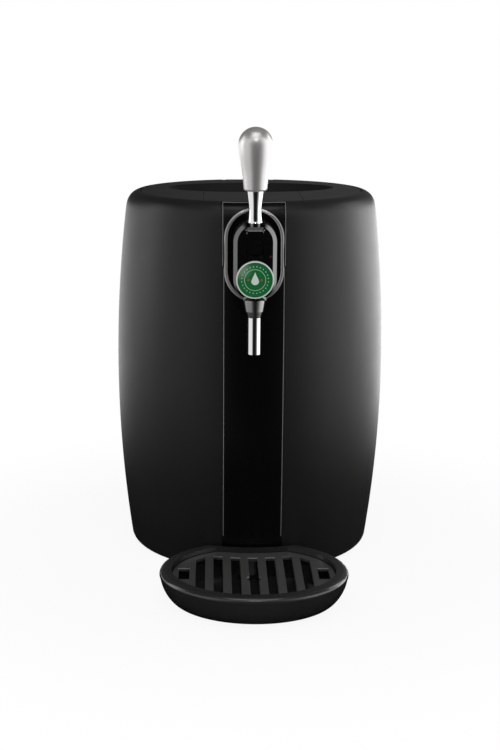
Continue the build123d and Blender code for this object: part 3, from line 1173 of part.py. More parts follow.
# The fixed half, seated on the floor of the recess.
with BuildPart() as tap_body:
    with BuildSketch(upright(BASIN_FLOOR_DEPTH)):
        stadium(TAP_WIDTH, TAP_NECK_LOW_Z, TAP_HIGH_Z)
    extrude(amount=TAP_SPLIT_DEPTH - BASIN_FLOOR_DEPTH)
    with BuildSketch(upright(TAP_NECK_DEPTH)):
        tap_outline(0)
    extrude(amount=TAP_SPLIT_DEPTH - TAP_NECK_DEPTH)
    # well for the lever and the pinch slider, open to the front and the top
    with BuildSketch(upright(LEVER_WELL_DEPTH)):
        with Locations((0, (LEVER_WELL_LOW_Z + TAP_HIGH_Z + CUT) / 2)):
            Rectangle(LEVER_WIDTH + 2 * LEVER_GAP, TAP_HIGH_Z + CUT - LEVER_WELL_LOW_Z)
    extrude(amount=TAP_SPLIT_DEPTH - LEVER_WELL_DEPTH + CUT, mode=Mode.SUBTRACT)
    # groove that the beer hose lies in, down to the nozzle
    with BuildSketch(level(TAP_LOW_Z)):
        with Locations((0, -TAP_AXIS_DEPTH)):
            Circle(HOSE_RADIUS)
        with Locations((0, -TAP_SPLIT_DEPTH)):
            Rectangle(2 * HOSE_RADIUS, 2 * (TAP_SPLIT_DEPTH - TAP_AXIS_DEPTH))
    extrude(amount=LEVER_WELL_LOW_Z - TAP_LOW_Z, mode=Mode.SUBTRACT)
    # counterbore for the spout's stem
    with BuildSketch(level(TAP_LOW_Z - CUT)):
        with Locations((0, -TAP_AXIS_DEPTH)):
            Circle(STEM_RADIUS)
    extrude(amount=STEM_SEAT + CUT, mode=Mode.SUBTRACT)
    # way in for the hose, through the back
    with BuildSketch(upright(BASIN_FLOOR_DEPTH)):
        with Locations((0, (HOSE_CHANNEL_LOW_Z + TAP_HIGH_Z + CUT) / 2)):
            Rectangle(HOSE_ENTRY_WIDTH, TAP_HIGH_Z + CUT - HOSE_CHANNEL_LOW_Z)
    extrude(amount=TAP_SPLIT_DEPTH - BASIN_FLOOR_DEPTH, mode=Mode.SUBTRACT)
    with BuildSketch(side_on(-HANDLE_PIN_LENGTH / 2)):
        with Locations((-HANDLE_DEPTH, PIVOT_Z)):
            Circle(HANDLE_PIN_RADIUS)
    extrude(amount=HANDLE_PIN_LENGTH, mode=Mode.SUBTRACT)
    add(TAP_SCREWS, mode=Mode.SUBTRACT)

# Small lens in the cover that shows when the keg is cold.
def lens():
    """The lens as a solid, let into the cover's face."""
    with BuildPart() as piece:
        with BuildSketch(upright(TAP_FRONT_DEPTH - LENS_LENGTH)):
            with Locations((LENS_X, LENS_Z)):
                Circle(LENS_RADIUS)
        extrude(amount=LENS_LENGTH + LENS_PROUD)
        fillet(piece.faces().sort_by(Axis.Y)[0].edges(), LENS_PROUD)
    return piece.part


LENS = lens()

# The half that clips on over the beer hose.
with BuildPart() as tap_cover:
    with BuildSketch(upright(TAP_SPLIT_DEPTH)):
        tap_outline(0)
    extrude(amount=TAP_FRONT_DEPTH - TAP_SPLIT_DEPTH)
    chamfer(tap_cover.faces().sort_by(Axis.Y)[0].edges(), COVER_BEVEL_FACE, COVER_BEVEL_SIDE)
    with BuildSketch(upright(TAP_SPLIT_DEPTH)):
        with Locations((0, COVER_TOP_Z + TAP_RADIUS / 2)):
            Rectangle(COVER_NOTCH_WIDTH, TAP_RADIUS)
        with Locations((0, (COVER_SLOT_LOW_Z + COVER_TOP_Z) / 2 + COVER_SLOT_WIDTH)):
            RectangleRounded(COVER_SLOT_WIDTH, COVER_TOP_Z - COVER_SLOT_LOW_Z + 2 * COVER_SLOT_WIDTH,
                             COVER_SLOT_ROUND)
    extrude(amount=TAP_FRONT_DEPTH, mode=Mode.SUBTRACT)
    add(LENS, mode=Mode.SUBTRACT)

with BuildPart() as badge_bezel:
    with BuildSketch(upright(TAP_FRONT_DEPTH, BADGE_Z)):
        Circle(BADGE_RADIUS + BADGE_RIM)
    extrude(amount=BADGE_PROUD)
    fillet(badge_bezel.faces().sort_by(Axis.Y)[0].edges(), BADGE_RIM / 2)
    with BuildSketch(upright(TAP_FRONT_DEPTH + BADGE_FLOOR, BADGE_Z)):
        Circle(BADGE_RADIUS)
    extrude(amount=BADGE_PROUD, mode=Mode.SUBTRACT)

# Slightly domed badge in its bezel.
with BuildPart() as badge_disc:
    with BuildSketch(side_on()):
        with BuildLine():
            seat = -TAP_FRONT_DEPTH - BADGE_FLOOR
            edge = seat - BADGE_THICKNESS
            reach = BADGE_RADIUS - BADGE_DISC_GAP
            ThreePointArc((edge, BADGE_Z + reach), (edge - BADGE_DOME, BADGE_Z), (edge, BADGE_Z - reach))
            Polyline((edge, BADGE_Z - reach), (seat, BADGE_Z - reach), (seat, BADGE_Z + reach),
                     (edge, BADGE_Z + reach))
        make_face()
        with Locations((seat, BADGE_Z - BADGE_RADIUS)):
            Rectangle(2 * BADGE_RADIUS, 2 * BADGE_RADIUS, mode=Mode.SUBTRACT)
    revolve(axis=Axis((0, AXIS_Y, BADGE_Z), (0, 1, 0)))

with BuildPart() as indicator_lens:
    add(LENS)

NOZZLE_TOP_Z = TAP_LOW_Z + NOZZLE_SEAT_GAP
NOZZLE_LOW_Z = NOZZLE_TOP_Z - NOZZLE_HEIGHT
COLLAR_LOW_Z = NOZZLE_LOW_Z - COLLAR_HEIGHT


def tapered_ring(top_z, low_z, top_radius, low_radius, bore):
    """A cone round the spout with a straight bore."""
    with BuildPart() as ring:
        with BuildSketch(level(low_z)):
            with Locations((0, -TAP_AXIS_DEPTH)):
                Circle(low_radius)
        with BuildSketch(level(top_z)):
            with Locations((0, -TAP_AXIS_DEPTH)):
                Circle(top_radius)
        loft()
        with BuildSketch(level(low_z - CUT)):
            with Locations((0, -TAP_AXIS_DEPTH)):
                Circle(bore)
        extrude(amount=top_z - low_z + 2 * CUT, mode=Mode.SUBTRACT)
    return ring.part


NOZZLE = tapered_ring(NOZZLE_TOP_Z, NOZZLE_LOW_Z, NOZZLE_TOP_RADIUS, NOZZLE_LOW_RADIUS, STEM_RADIUS)
COLLAR = tapered_ring(NOZZLE_LOW_Z, COLLAR_LOW_Z, COLLAR_TOP_RADIUS, SPOUT_RADIUS, STEM_RADIUS)

with BuildPart() as nozzle_cone:
    add(NOZZLE)

with BuildPart() as nozzle_collar:
    add(COLLAR)

# Chrome spout: a tube with a thinner stem that runs up through the nozzle.
with BuildPart() as spout_tube:
    with BuildSketch(level(SPOUT_LOW_Z)):
        with Locations((0, -TAP_AXIS_DEPTH)):
            Circle(SPOUT_RADIUS)
    extrude(amount=COLLAR_LOW_Z - SPOUT_LOW_Z)
    with BuildSketch(level(COLLAR_LOW_Z)):
        with Locations((0, -TAP_AXIS_DEPTH)):
            Circle(STEM_RADIUS)
    extrude(amount=TAP_LOW_Z + STEM_SEAT - COLLAR_LOW_Z)
    with BuildSketch(level(SPOUT_LOW_Z)):
        with Locations((0, -TAP_AXIS_DEPTH)):
            Circle(SPOUT_BORE_RADIUS)
    extrude(amount=TAP_LOW_Z + STEM_SEAT - SPOUT_LOW_Z, mode=Mode.SUBTRACT)

with BuildPart() as tap_screws:
    add(TAP_SCREWS)

# ---------------------------------------------------------------- tap handle
HANDLE_AXIS = Axis((0, AXIS_Y - HANDLE_DEPTH, 0), (0, 0, 1))
HANDLE_PLANE = Plane((0, AXIS_Y - HANDLE_DEPTH, 0), x_dir=(1, 0, 0), z_dir=(0, -1, 0))

# Satin metal grip, thickest near its domed top.
with BuildPart() as handle_grip:
    with BuildSketch(HANDLE_PLANE):
        with BuildLine():
            low = (GRIP_LOW_RADIUS - GRIP_FOOT_ROUND, GRIP_LOW_Z)
            foot = (GRIP_LOW_RADIUS, GRIP_LOW_Z + GRIP_FOOT_ROUND)
            widest = (GRIP_RADIUS, GRIP_TOP_Z - GRIP_RADIUS)
            top = (0, GRIP_TOP_Z)
            Line((0, GRIP_LOW_Z), low)
            RadiusArc(low, foot, -GRIP_FOOT_ROUND)
            Spline(foot, (GRIP_MIDDLE_RADIUS, GRIP_MIDDLE_Z), widest, tangents=((GRIP_SPLAY, 1), (0, 1)))
            RadiusArc(widest, top, -GRIP_RADIUS)
            Line(top, (0, GRIP_LOW_Z))
        make_face()
    revolve(axis=HANDLE_AXIS)
    with BuildSketch(level(GRIP_LOW_Z)):
        with Locations((0, -HANDLE_DEPTH)):
            Circle(NECK_SPIGOT_RADIUS)
    extrude(amount=NECK_SPIGOT_LENGTH, mode=Mode.SUBTRACT)

# Chrome neck with a flared root and a spigot up into the grip.
with BuildPart() as handle_neck:
    with BuildSketch(HANDLE_PLANE):
        with BuildLine():
            root_edge = (NECK_ROOT_RADIUS, NECK_ROOT_Z + NECK_ROOT_EDGE)
            Polyline((0, NECK_ROOT_Z), (NECK_ROOT_RADIUS, NECK_ROOT_Z), root_edge)
            Spline(root_edge, (NECK_WAIST_RADIUS, NECK_WAIST_Z), (NECK_TOP_RADIUS, GRIP_LOW_Z),
                   tangents=((-NECK_FLARE, 1), (NECK_SPLAY, 1)))
            Polyline((NECK_TOP_RADIUS, GRIP_LOW_Z), (NECK_SPIGOT_RADIUS, GRIP_LOW_Z),
                     (NECK_SPIGOT_RADIUS, GRIP_LOW_Z + NECK_SPIGOT_LENGTH),
                     (0, GRIP_LOW_Z + NECK_SPIGOT_LENGTH), (0, NECK_ROOT_Z))
        make_face()
    revolve(axis=HANDLE_AXIS)

# Black lever under the neck: a flared root, a hub on the pivot pin and a leg that fills
# the cover's slot and drives the pinch slider.
with BuildPart() as handle_lever:
    with BuildSketch(side_on(-LEVER_WIDTH / 2)):
        with BuildLine():
            face = -TAP_FRONT_DEPTH + LEVER_SINK
            back = face + LEVER_LEG
            Polyline((-HANDLE_DEPTH - NECK_ROOT_RADIUS, LEVER_TOP_Z), (face, LEVER_FACE_TOP_Z),
                     (face, LEVER_LOW_Z + LEVER_CHAMFER), (face + LEVER_CHAMFER, LEVER_LOW_Z),
                     (back, LEVER_LOW_Z), (back, PIVOT_Z - LEVER_HUB_RADIUS),
                     (-HANDLE_DEPTH + NECK_ROOT_RADIUS, PIVOT_Z),
                     (-HANDLE_DEPTH + NECK_ROOT_RADIUS, LEVER_TOP_Z), close=True)
        make_face()
        with Locations((-HANDLE_DEPTH, PIVOT_Z)):
            Circle(LEVER_HUB_RADIUS)
            Circle(HANDLE_PIN_RADIUS + RUNNING_FIT, mode=Mode.SUBTRACT)
    extrude(amount=LEVER_WIDTH)
    with BuildSketch(upright(TAP_FRONT_DEPTH + CUT)):
        stadium(LEVER_WIDTH, LEVER_LOW_Z, LEVER_TOP_Z + LEVER_WIDTH)
    extrude(amount=-2 * LEVER_WIDTH, mode=Mode.INTERSECT)
    with BuildSketch(HANDLE_PLANE):
        Polygon((0, LEVER_TOP_Z), (LEVER_WIDTH / 2, LEVER_TOP_Z), (NECK_ROOT_RADIUS, NECK_ROOT_Z),
                (0, NECK_ROOT_Z), align=None)
    revolve(axis=HANDLE_AXIS)

with BuildPart() as handle_pin:
    with BuildSketch(side_on(-HANDLE_PIN_LENGTH / 2)):
        with Locations((-HANDLE_DEPTH, PIVOT_Z)):
            Circle(HANDLE_PIN_RADIUS)
    extrude(amount=HANDLE_PIN_LENGTH)

# Slider that pinches the beer hose shut: the lever's leg pushes its tab back, its foot
# stands behind the hose, and the hose runs through the window between its two rails.
with BuildPart() as pinch_slider:
    with BuildSketch(side_on(-SLIDER_WIDTH / 2)):
        with BuildLine():
            Polyline((-SLIDER_FRONT, SLIDER_LOW_Z), (-SLIDER_FRONT, SLIDER_HIGH_Z),
                     (-SLIDER_FRONT + SLIDER_TAB, SLIDER_HIGH_Z),
                     (-SLIDER_FRONT + SLIDER_TAB, SLIDER_LOW_Z + SLIDER_FOOT),
                     (-SLIDER_BACK, SLIDER_LOW_Z + SLIDER_FOOT), (-SLIDER_BACK, SLIDER_LOW_Z), close=True)
        make_face()
    extrude(amount=SLIDER_WIDTH)
    with BuildSketch(level(SLIDER_LOW_Z)):
        with Locations((0, -SLIDER_FRONT)):
            Rectangle(2 * (HOSE_RADIUS + SLIDER_HOSE_GAP), 2 * SLIDER_PINCH)
    extrude(amount=SLIDER_FOOT + SLIDER_WINDOW, mode=Mode.SUBTRACT)

PINCH_SPRING = coil_spring(upright(LEVER_WELL_DEPTH, SLIDER_LOW_Z + SLIDER_FOOT / 2), PINCH_SPRING_RADIUS,
                           PINCH_SPRING_WIRE, SLIDER_BACK - LEVER_WELL_DEPTH, PINCH_SPRING_TURNS)
with BuildPart() as pinch_spring:
    add(PINCH_SPRING)

# ---------------------------------------------------------------- drip tray
BOWL_TOP_Z = TRAY_HEIGHT - TRAY_RIM_HEIGHT
GRID_LOW_Z = TRAY_HEIGHT - GRID_DROP - GRID_THICKNESS


def tray_plan(inset, back_inset):
    """Plan of the tray: an oval that the barrel bites into, drawn in by inset."""
    with BuildSketch(Plane.XY, mode=Mode.PRIVATE) as plan:
        with Locations((0, -TRAY_CENTRE_DEPTH)):
            Ellipse(TRAY_WIDTH / 2 - inset, TRAY_LENGTH / 2 - inset)
        Circle(BACK_RADIUS + back_inset, mode=Mode.SUBTRACT)
        reach = BACK_RADIUS + back_inset + TOUCH
        corners = plan.vertices().filter_by(lambda corner: math.hypot(corner.X, corner.Y) < reach)
        fillet(corners, max(TRAY_CORNER - inset / 2, TRAY_CORNER_LEAST))
    return plan.sketch


def drawn_in(height, top, foot):
    """How far the bowl is drawn in at a height, on its way in from top to foot."""
    drop = 1 - height / BOWL_TOP_Z
    return foot - (foot - top) * (1 - drop ** TRAY_FULLNESS) ** (1 / TRAY_FULLNESS)


with BuildPart() as drip_tray:
    for section in range(TRAY_SECTIONS + 1):
        height = BOWL_TOP_Z * (section / TRAY_SECTIONS) ** TRAY_FULLNESS
        with BuildSketch(level(height)):
            add(tray_plan(drawn_in(height, TRAY_RIM_OVERHANG, TRAY_FOOT_INSET),
                          drawn_in(height, TRAY_RIM_OVERHANG, TRAY_BACK_TAPER)))
    loft()
    with BuildSketch(level(BOWL_TOP_Z)):
        add(tray_plan(0, 0))
    extrude(amount=TRAY_RIM_HEIGHT)
    fillet(drip_tray.faces().sort_by(Axis.Z)[-1].edges(), TRAY_RIM_ROUND)
    # seat for the grid
    with BuildSketch(level(GRID_LOW_Z)):
        add(tray_plan(TRAY_RIM_WIDTH, TRAY_BACK_RIM))
    extrude(amount=TRAY_HEIGHT, mode=Mode.SUBTRACT)
    # bowl
    with BuildSketch(level(TRAY_WALL)):
        add(tray_plan(TRAY_FOOT_INSET + TRAY_WALL, TRAY_BACK_TAPER + TRAY_WALL))
    with BuildSketch(level(GRID_LOW_Z + CUT)):
        add(tray_plan(TRAY_RIM_WIDTH + GRID_LEDGE, TRAY_BACK_RIM + GRID_LEDGE))
    loft(mode=Mode.SUBTRACT)
    # tongue that slips into the foot of the machine
    with BuildSketch(level(TONGUE_Z - TONGUE_THICKNESS / 2)):
        with Locations((0, -BACK_RADIUS + TONGUE_SHIFT)):
            Rectangle(TONGUE_WIDTH, 2 * TONGUE_REACH)
    extrude(amount=TONGUE_THICKNESS)

with BuildPart() as drip_grid:
    grid_inset = TRAY_RIM_WIDTH + GRID_GAP
    grid_back = TRAY_BACK_RIM + GRID_GAP
    with BuildSketch(level(GRID_LOW_Z)):
        add(tray_plan(grid_inset, grid_back))
    extrude(amount=GRID_THICKNESS)
    with BuildSketch(level(GRID_LOW_Z)):
        with Locations((0, -TRAY_CENTRE_DEPTH)):
            with GridLocations(SLOT_PITCH, 1, SLOT_COUNT, 1):
                Rectangle(SLOT_WIDTH, TRAY_LENGTH)
        add(tray_plan(grid_inset + GRID_BORDER, grid_back + GRID_BACK_BORDER), mode=Mode.INTERSECT)
        window_depth = TRAY_CENTRE_DEPTH + END_WINDOW_SHIFT
        with Locations((-END_WINDOW_OFFSET, -window_depth), (END_WINDOW_OFFSET, -window_depth)):
            Rectangle(END_WINDOW, END_WINDOW_LENGTH)
        with Locations((0, -TRAY_CENTRE_DEPTH - FINGER_HOLE_SHIFT)):
            Circle(FINGER_HOLE_RADIUS)
    extrude(amount=GRID_THICKNESS, mode=Mode.SUBTRACT)
    chamfer(drip_grid.faces().sort_by(Axis.Z)[-1].edges(), GRID_EDGE)

# ---------------------------------------------------------------- hand over
base_pan.part.label = "base_pan"
rubber_feet.part.label = "rubber_feet"
base_screws.part.label = "base_screws"
left_side_shell.part.label = "left_side_shell"
right_side_shell.part.label = "right_side_shell"
upper_front_panel.part.label = "upper_front_panel"
lower_front_panel.part.label = "lower_front_panel"
top_deck.part.label = "top_deck"
rear_housing.part.label = "rear_housing"
housing_screws.part.label = "housing_screws"
rear_grille.part.label = "rear_grille"
switch_bezel.part.label = "switch_bezel"
power_rocker.part.label = "power_rocker"
mains_inlet.part.label = "mains_inlet"
inlet_pins.part.label = "inlet_pins"
keg_chamber.part.label = "keg_chamber"
keg_support_pad.part.label = "keg_support_pad"
insulation_jacket.part.label = "insulation_jacket"
cold_block.part.label = "cold_block"
peltier_module.part.label = "peltier_module"
heat_sink.part.label = "heat_sink"
fan_frame.part.label = "fan_frame"
fan_rotor.part.label = "fan_rotor"
power_supply.part.label = "power_supply"
control_board.part.label = "control_board"
lid_outer.part.label = "lid_outer"
lid_liner.part.label = "lid_liner"
lid_insulation.part.label = "lid_insulation"
lid_gasket.part.label = "lid_gasket"
hinge_bracket.part.label = "hinge_bracket"
hinge_screws.part.label = "hinge_screws"
lid_hinge_pin.part.label = "lid_hinge_pin"
lid_release_paddle.part.label = "lid_release_paddle"
paddle_pin.part.label = "paddle_pin"
paddle_spring.part.label = "paddle_spring"
lid_latch.part.label = "lid_latch"
latch_pin.part.label = "latch_pin"
tap_body.part.label = "tap_body"
tap_screws.part.label = "tap_screws"
tap_cover.part.label = "tap_cover"
badge_bezel.part.label = "badge_bezel"
badge_disc.part.label = "badge_disc"
indicator_lens.part.label = "indicator_lens"
nozzle_cone.part.label = "nozzle_cone"
nozzle_collar.part.label = "nozzle_collar"
spout_tube.part.label = "spout_tube"
handle_grip.part.label = "handle_grip"
handle_neck.part.label = "handle_neck"
handle_lever.part.label = "handle_lever"
handle_pin.part.label = "handle_pin"
pinch_slider.part.label = "pinch_slider"
pinch_spring.part.label = "pinch_spring"
drip_tray.part.label = "drip_tray"
drip_grid.part.label = "drip_grid"

export_step(base_pan.part, "parts/base_pan.step")
export_step(rubber_feet.part, "parts/rubber_feet.step")
export_step(base_screws.part, "parts/base_screws.step")
export_step(left_side_shell.part, "parts/left_side_shell.step")
export_step(right_side_shell.part, "parts/right_side_shell.step")
export_step(upper_front_panel.part, "parts/upper_front_panel.step")
export_step(lower_front_panel.part, "parts/lower_front_panel.step")
export_step(top_deck.part, "parts/top_deck.step")
export_step(rear_housing.part, "parts/rear_housing.step")
export_step(housing_screws.part, "parts/housing_screws.step")
export_step(rear_grille.part, "parts/rear_grille.step")
export_step(switch_bezel.part, "parts/switch_bezel.step")
export_step(power_rocker.part, "parts/power_rocker.step")
export_step(mains_inlet.part, "parts/mains_inlet.step")
export_step(inlet_pins.part, "parts/inlet_pins.step")
export_step(keg_chamber.part, "parts/keg_chamber.step")
export_step(keg_support_pad.part, "parts/keg_support_pad.step")
export_step(insulation_jacket.part, "parts/insulation_jacket.step")
export_step(cold_block.part, "parts/cold_block.step")
export_step(peltier_module.part, "parts/peltier_module.step")
export_step(heat_sink.part, "parts/heat_sink.step")
export_step(fan_frame.part, "parts/fan_frame.step")
export_step(fan_rotor.part, "parts/fan_rotor.step")
export_step(power_supply.part, "parts/power_supply.step")
export_step(control_board.part, "parts/control_board.step")
export_step(lid_outer.part, "parts/lid_outer.step")
export_step(lid_liner.part, "parts/lid_liner.step")
export_step(lid_insulation.part, "parts/lid_insulation.step")
export_step(lid_gasket.part, "parts/lid_gasket.step")
export_step(hinge_bracket.part, "parts/hinge_bracket.step")
export_step(hinge_screws.part, "parts/hinge_screws.step")
export_step(lid_hinge_pin.part, "parts/lid_hinge_pin.step")
export_step(lid_release_paddle.part, "parts/lid_release_paddle.step")
export_step(paddle_pin.part, "parts/paddle_pin.step")
export_step(paddle_spring.part, "parts/paddle_spring.step")
export_step(lid_latch.part, "parts/lid_latch.step")
export_step(latch_pin.part, "parts/latch_pin.step")
export_step(tap_body.part, "parts/tap_body.step")
export_step(tap_screws.part, "parts/tap_screws.step")
export_step(tap_cover.part, "parts/tap_cover.step")
export_step(badge_bezel.part, "parts/badge_bezel.step")
export_step(badge_disc.part, "parts/badge_disc.step")
export_step(indicator_lens.part, "parts/indicator_lens.step")
export_step(nozzle_cone.part, "parts/nozzle_cone.step")
export_step(nozzle_collar.part, "parts/nozzle_collar.step")
export_step(spout_tube.part, "parts/spout_tube.step")
export_step(handle_grip.part, "parts/handle_grip.step")
export_step(handle_neck.part, "parts/handle_neck.step")
export_step(handle_lever.part, "parts/handle_lever.step")
export_step(handle_pin.part, "parts/handle_pin.step")
export_step(pinch_slider.part, "parts/pinch_slider.step")
export_step(pinch_spring.part, "parts/pinch_spring.step")
export_step(drip_tray.part, "parts/drip_tray.step")
export_step(drip_grid.part, "parts/drip_grid.step")
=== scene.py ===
"""Looks of a counter-top cooler and tap for a mini keg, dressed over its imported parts.

Metres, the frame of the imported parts: X to the right, Y to the back, Z up, origin on the
worktop under the middle of the machine.
"""

import logging
import math
from dataclasses import dataclass, field
from enum import Enum
from typing import Callable

import bmesh
import bpy
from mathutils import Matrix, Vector
from mathutils.bvhtree import BVHTree


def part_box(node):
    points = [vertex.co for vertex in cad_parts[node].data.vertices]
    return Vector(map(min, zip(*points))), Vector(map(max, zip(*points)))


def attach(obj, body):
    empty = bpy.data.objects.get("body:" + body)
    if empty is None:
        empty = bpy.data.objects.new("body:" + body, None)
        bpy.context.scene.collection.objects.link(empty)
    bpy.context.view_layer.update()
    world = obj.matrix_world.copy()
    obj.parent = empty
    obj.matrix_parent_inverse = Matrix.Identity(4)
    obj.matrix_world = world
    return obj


LOG = logging.getLogger("cooler")
MM = 0.001
SHARP_TURN = math.radians(30.0)   # edges that turn more than this stay sharp
ROUND_TURN = math.radians(50.0)   # edges that turn more than this are rounded
ROUND_STEPS = 2
SAME_PLACE = 0.001 * MM           # vertices nearer than this become one
VALUE_A, VALUE_B, VALUE_OUT = 2, 3, 0    # sockets of a Mix node that mixes values
COLOR_A, COLOR_B, COLOR_OUT = 6, 7, 2    # and of one that mixes colours

Place = tuple[float, float]       # across and up the machine's front
Color = tuple[float, float, float]

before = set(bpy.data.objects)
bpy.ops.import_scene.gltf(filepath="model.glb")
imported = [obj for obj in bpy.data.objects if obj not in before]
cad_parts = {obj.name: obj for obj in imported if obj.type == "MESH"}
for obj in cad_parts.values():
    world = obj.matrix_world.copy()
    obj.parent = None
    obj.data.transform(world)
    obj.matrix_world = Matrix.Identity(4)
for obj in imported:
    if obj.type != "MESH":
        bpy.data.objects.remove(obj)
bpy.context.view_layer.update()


# ---------------------------------------------------------------- finishes
class Grain(Enum):
    """Ways a surface's fine relief can run."""

    SPARK = "spark"        # even, eroded into the mould
    PEEL = "peel"          # long, shallow waves under a polished skin
    DRAWN = "drawn"        # lines along the piece's height
    TURNED = "turned"      # lines round the piece
    CELLS = "cells"        # closed cells of foam


@dataclass(frozen=True)
class Finish:
    """A surface: its colours, its gloss and the relief in it."""

    name: str
    color: Color
    tint: Color
    roughness: float
    spread: float = 0.05
    metallic: float = 0.0
    specular: float = 0.5
    coat: float = 0.0
    coat_roughness: float = 0.05
    coat_ior: float = 1.5
    ior: float = 1.46
    transmission: float = 0.0
    grain: Grain = Grain.SPARK
    grain_scale: float = 1500.0
    relief: float = 0.15
    depth: float = 0.0001
    patch_scale: float = 14.0
    patch_start: float = 0.3
    patch_end: float = 0.7
    patch_detail: float = 4.0
    wear_share: float = 3.0
    wear_detail: float = 6.0
    grain_detail: float = 3.0

    def material(self) -> bpy.types.Material:
        """Make the finish as a node material, once.

        Returns:
            The material, made now or found from before.
        """
        found = bpy.data.materials.get(self.name)
        if found is not None:
            return found
        made = bpy.data.materials.new(self.name)
        made.use_nodes = True
        tree = made.node_tree
        tree.nodes.clear()
        shader = tree.nodes.new("ShaderNodeBsdfPrincipled")
        output = tree.nodes.new("ShaderNodeOutputMaterial")
        tree.links.new(shader.outputs["BSDF"], output.inputs["Surface"])
        shader.inputs["Metallic"].default_value = self.metallic
        shader.inputs["Specular IOR Level"].default_value = self.specular
        shader.inputs["IOR"].default_value = self.ior
        shader.inputs["Coat Weight"].default_value = self.coat
        shader.inputs["Coat Roughness"].default_value = self.coat_roughness
        shader.inputs["Coat IOR"].default_value = self.coat_ior
        shader.inputs["Transmission Weight"].default_value = self.transmission
        place = tree.nodes.new("ShaderNodeTexCoord")
        self._color(tree, shader, place)
        self._gloss(tree, shader, place)
        self._relief(tree, shader, place)
        return made

    def _color(self, tree: bpy.types.NodeTree, shader: bpy.types.Node, place: bpy.types.Node) -> None:
        """Let the colour drift between the two tints in soft patches.

        Args:
            tree: the material's node tree.
            shader: the surface shader.
            place: the texture coordinates.
        """
        patches = tree.nodes.new("ShaderNodeTexNoise")
        patches.inputs["Scale"].default_value = self.patch_scale
        patches.inputs["Detail"].default_value = self.patch_detail
        ramp = tree.nodes.new("ShaderNodeValToRGB")
        ramp.color_ramp.elements[0].position = self.patch_start
        ramp.color_ramp.elements[1].position = self.patch_end
        ramp.color_ramp.elements[0].color = (*self.color, 1.0)
        ramp.color_ramp.elements[1].color = (*self.tint, 1.0)
        tree.links.new(place.outputs["Object"], patches.inputs["Vector"])
        tree.links.new(patches.outputs["Fac"], ramp.inputs["Fac"])
        tree.links.new(ramp.outputs["Color"], shader.inputs["Base Color"])

    def _gloss(self, tree: bpy.types.NodeTree, shader: bpy.types.Node, place: bpy.types.Node) -> None:
        """Let the roughness wander round its value, as handled surfaces do.

        Args:
            tree: the material's node tree.
            shader: the surface shader.
            place: the texture coordinates.
        """
        wear = tree.nodes.new("ShaderNodeTexNoise")
        wear.inputs["Scale"].default_value = self.wear_share * self.patch_scale
        wear.inputs["Detail"].default_value = self.wear_detail
        reach = tree.nodes.new("ShaderNodeMapRange")
        reach.inputs["To Min"].default_value = max(self.roughness - self.spread, 0.0)
        reach.inputs["To Max"].default_value = min(self.roughness + self.spread, 1.0)
        tree.links.new(place.outputs["Object"], wear.inputs["Vector"])
        tree.links.new(wear.outputs["Fac"], reach.inputs["Value"])
        tree.links.new(reach.outputs["Result"], shader.inputs["Roughness"])

    def _relief(self, tree: bpy.types.NodeTree, shader: bpy.types.Node, place: bpy.types.Node) -> None:
        """Add the fine relief as a bump.

        Args:
            tree: the material's node tree.
            shader: the surface shader.
            place: the texture coordinates.
        """
        stretch = tree.nodes.new("ShaderNodeMapping")
        stretch.inputs["Scale"].default_value = {
            Grain.SPARK: (1.0, 1.0, 1.0),
            Grain.PEEL: (1.0, 1.0, 1.0),
            Grain.DRAWN: (1.0, 1.0, 0.02),
            Grain.TURNED: (0.02, 0.02, 1.0),
            Grain.CELLS: (1.0, 1.0, 1.0),
        }[self.grain]
        if self.grain is Grain.CELLS:
            pattern = tree.nodes.new("ShaderNodeTexVoronoi")
            height = pattern.outputs["Distance"]
        else:
            pattern = tree.nodes.new("ShaderNodeTexNoise")
            pattern.inputs["Detail"].default_value = self.grain_detail
            height = pattern.outputs["Fac"]
        pattern.inputs["Scale"].default_value = self.grain_scale
        bump = tree.nodes.new("ShaderNodeBump")
        bump.inputs["Strength"].default_value = self.relief
        bump.inputs["Distance"].default_value = self.depth
        tree.links.new(place.outputs["Object"], stretch.inputs["Vector"])
        tree.links.new(stretch.outputs["Vector"], pattern.inputs["Vector"])
        tree.links.new(height, bump.inputs["Height"])
        tree.links.new(bump.outputs["Normal"], shader.inputs["Normal"])


SHELL = Finish("eroded black shell", (0.0100, 0.0094, 0.0090), (0.0124, 0.0116, 0.0110), 0.42, 0.03,
               specular=0.35, grain_scale=1400.0, relief=0.22, depth=0.00012)
STRIP = Finish("glossy black strip", (0.0022, 0.0022, 0.0023), (0.0030, 0.0029, 0.0030), 0.27, 0.02,
               specular=0.3, grain=Grain.PEEL, grain_scale=60.0, relief=0.03, depth=0.0002)
DARK_CHROME = Finish("dark plated plastic", (0.46, 0.452, 0.444), (0.50, 0.492, 0.484), 0.16, 0.02,
                     metallic=1.0, grain=Grain.PEEL, grain_scale=80.0, relief=0.03, depth=0.0002)
# painted highlight: a pale plated skin over the recess's rounded edge, for the light that edge catches
PAINTED_LIP_HIGHLIGHT = Finish("painted lip highlight", (0.50, 0.492, 0.484), (0.56, 0.552, 0.544), 0.38, 0.03, metallic=1.0,
              grain_scale=1800.0, relief=0.12, depth=0.00008)
# painted highlight: pale beads laid on the strip's, notch's and lever's edges, for the light those edges
# catch
PAINTED_EDGE_HIGHLIGHT = Finish("painted edge highlight", (0.20, 0.196, 0.192), (0.24, 0.236, 0.232), 0.30, 0.03,
                     specular=0.6, grain_scale=900.0, relief=0.05, depth=0.00005)
PIANO = Finish("polished black strip", (0.0012, 0.0012, 0.0013), (0.0018, 0.0017, 0.0018), 0.08, 0.015,
               specular=0.9, coat=1.0, coat_roughness=0.04, coat_ior=1.95, grain=Grain.PEEL,
               grain_scale=60.0, relief=0.03, depth=0.0002)
LID = Finish("satin grey lid", (0.0095, 0.0093, 0.0090), (0.0120, 0.0117, 0.0114), 0.36, 0.04,
             specular=0.20, grain_scale=1600.0, relief=0.18)
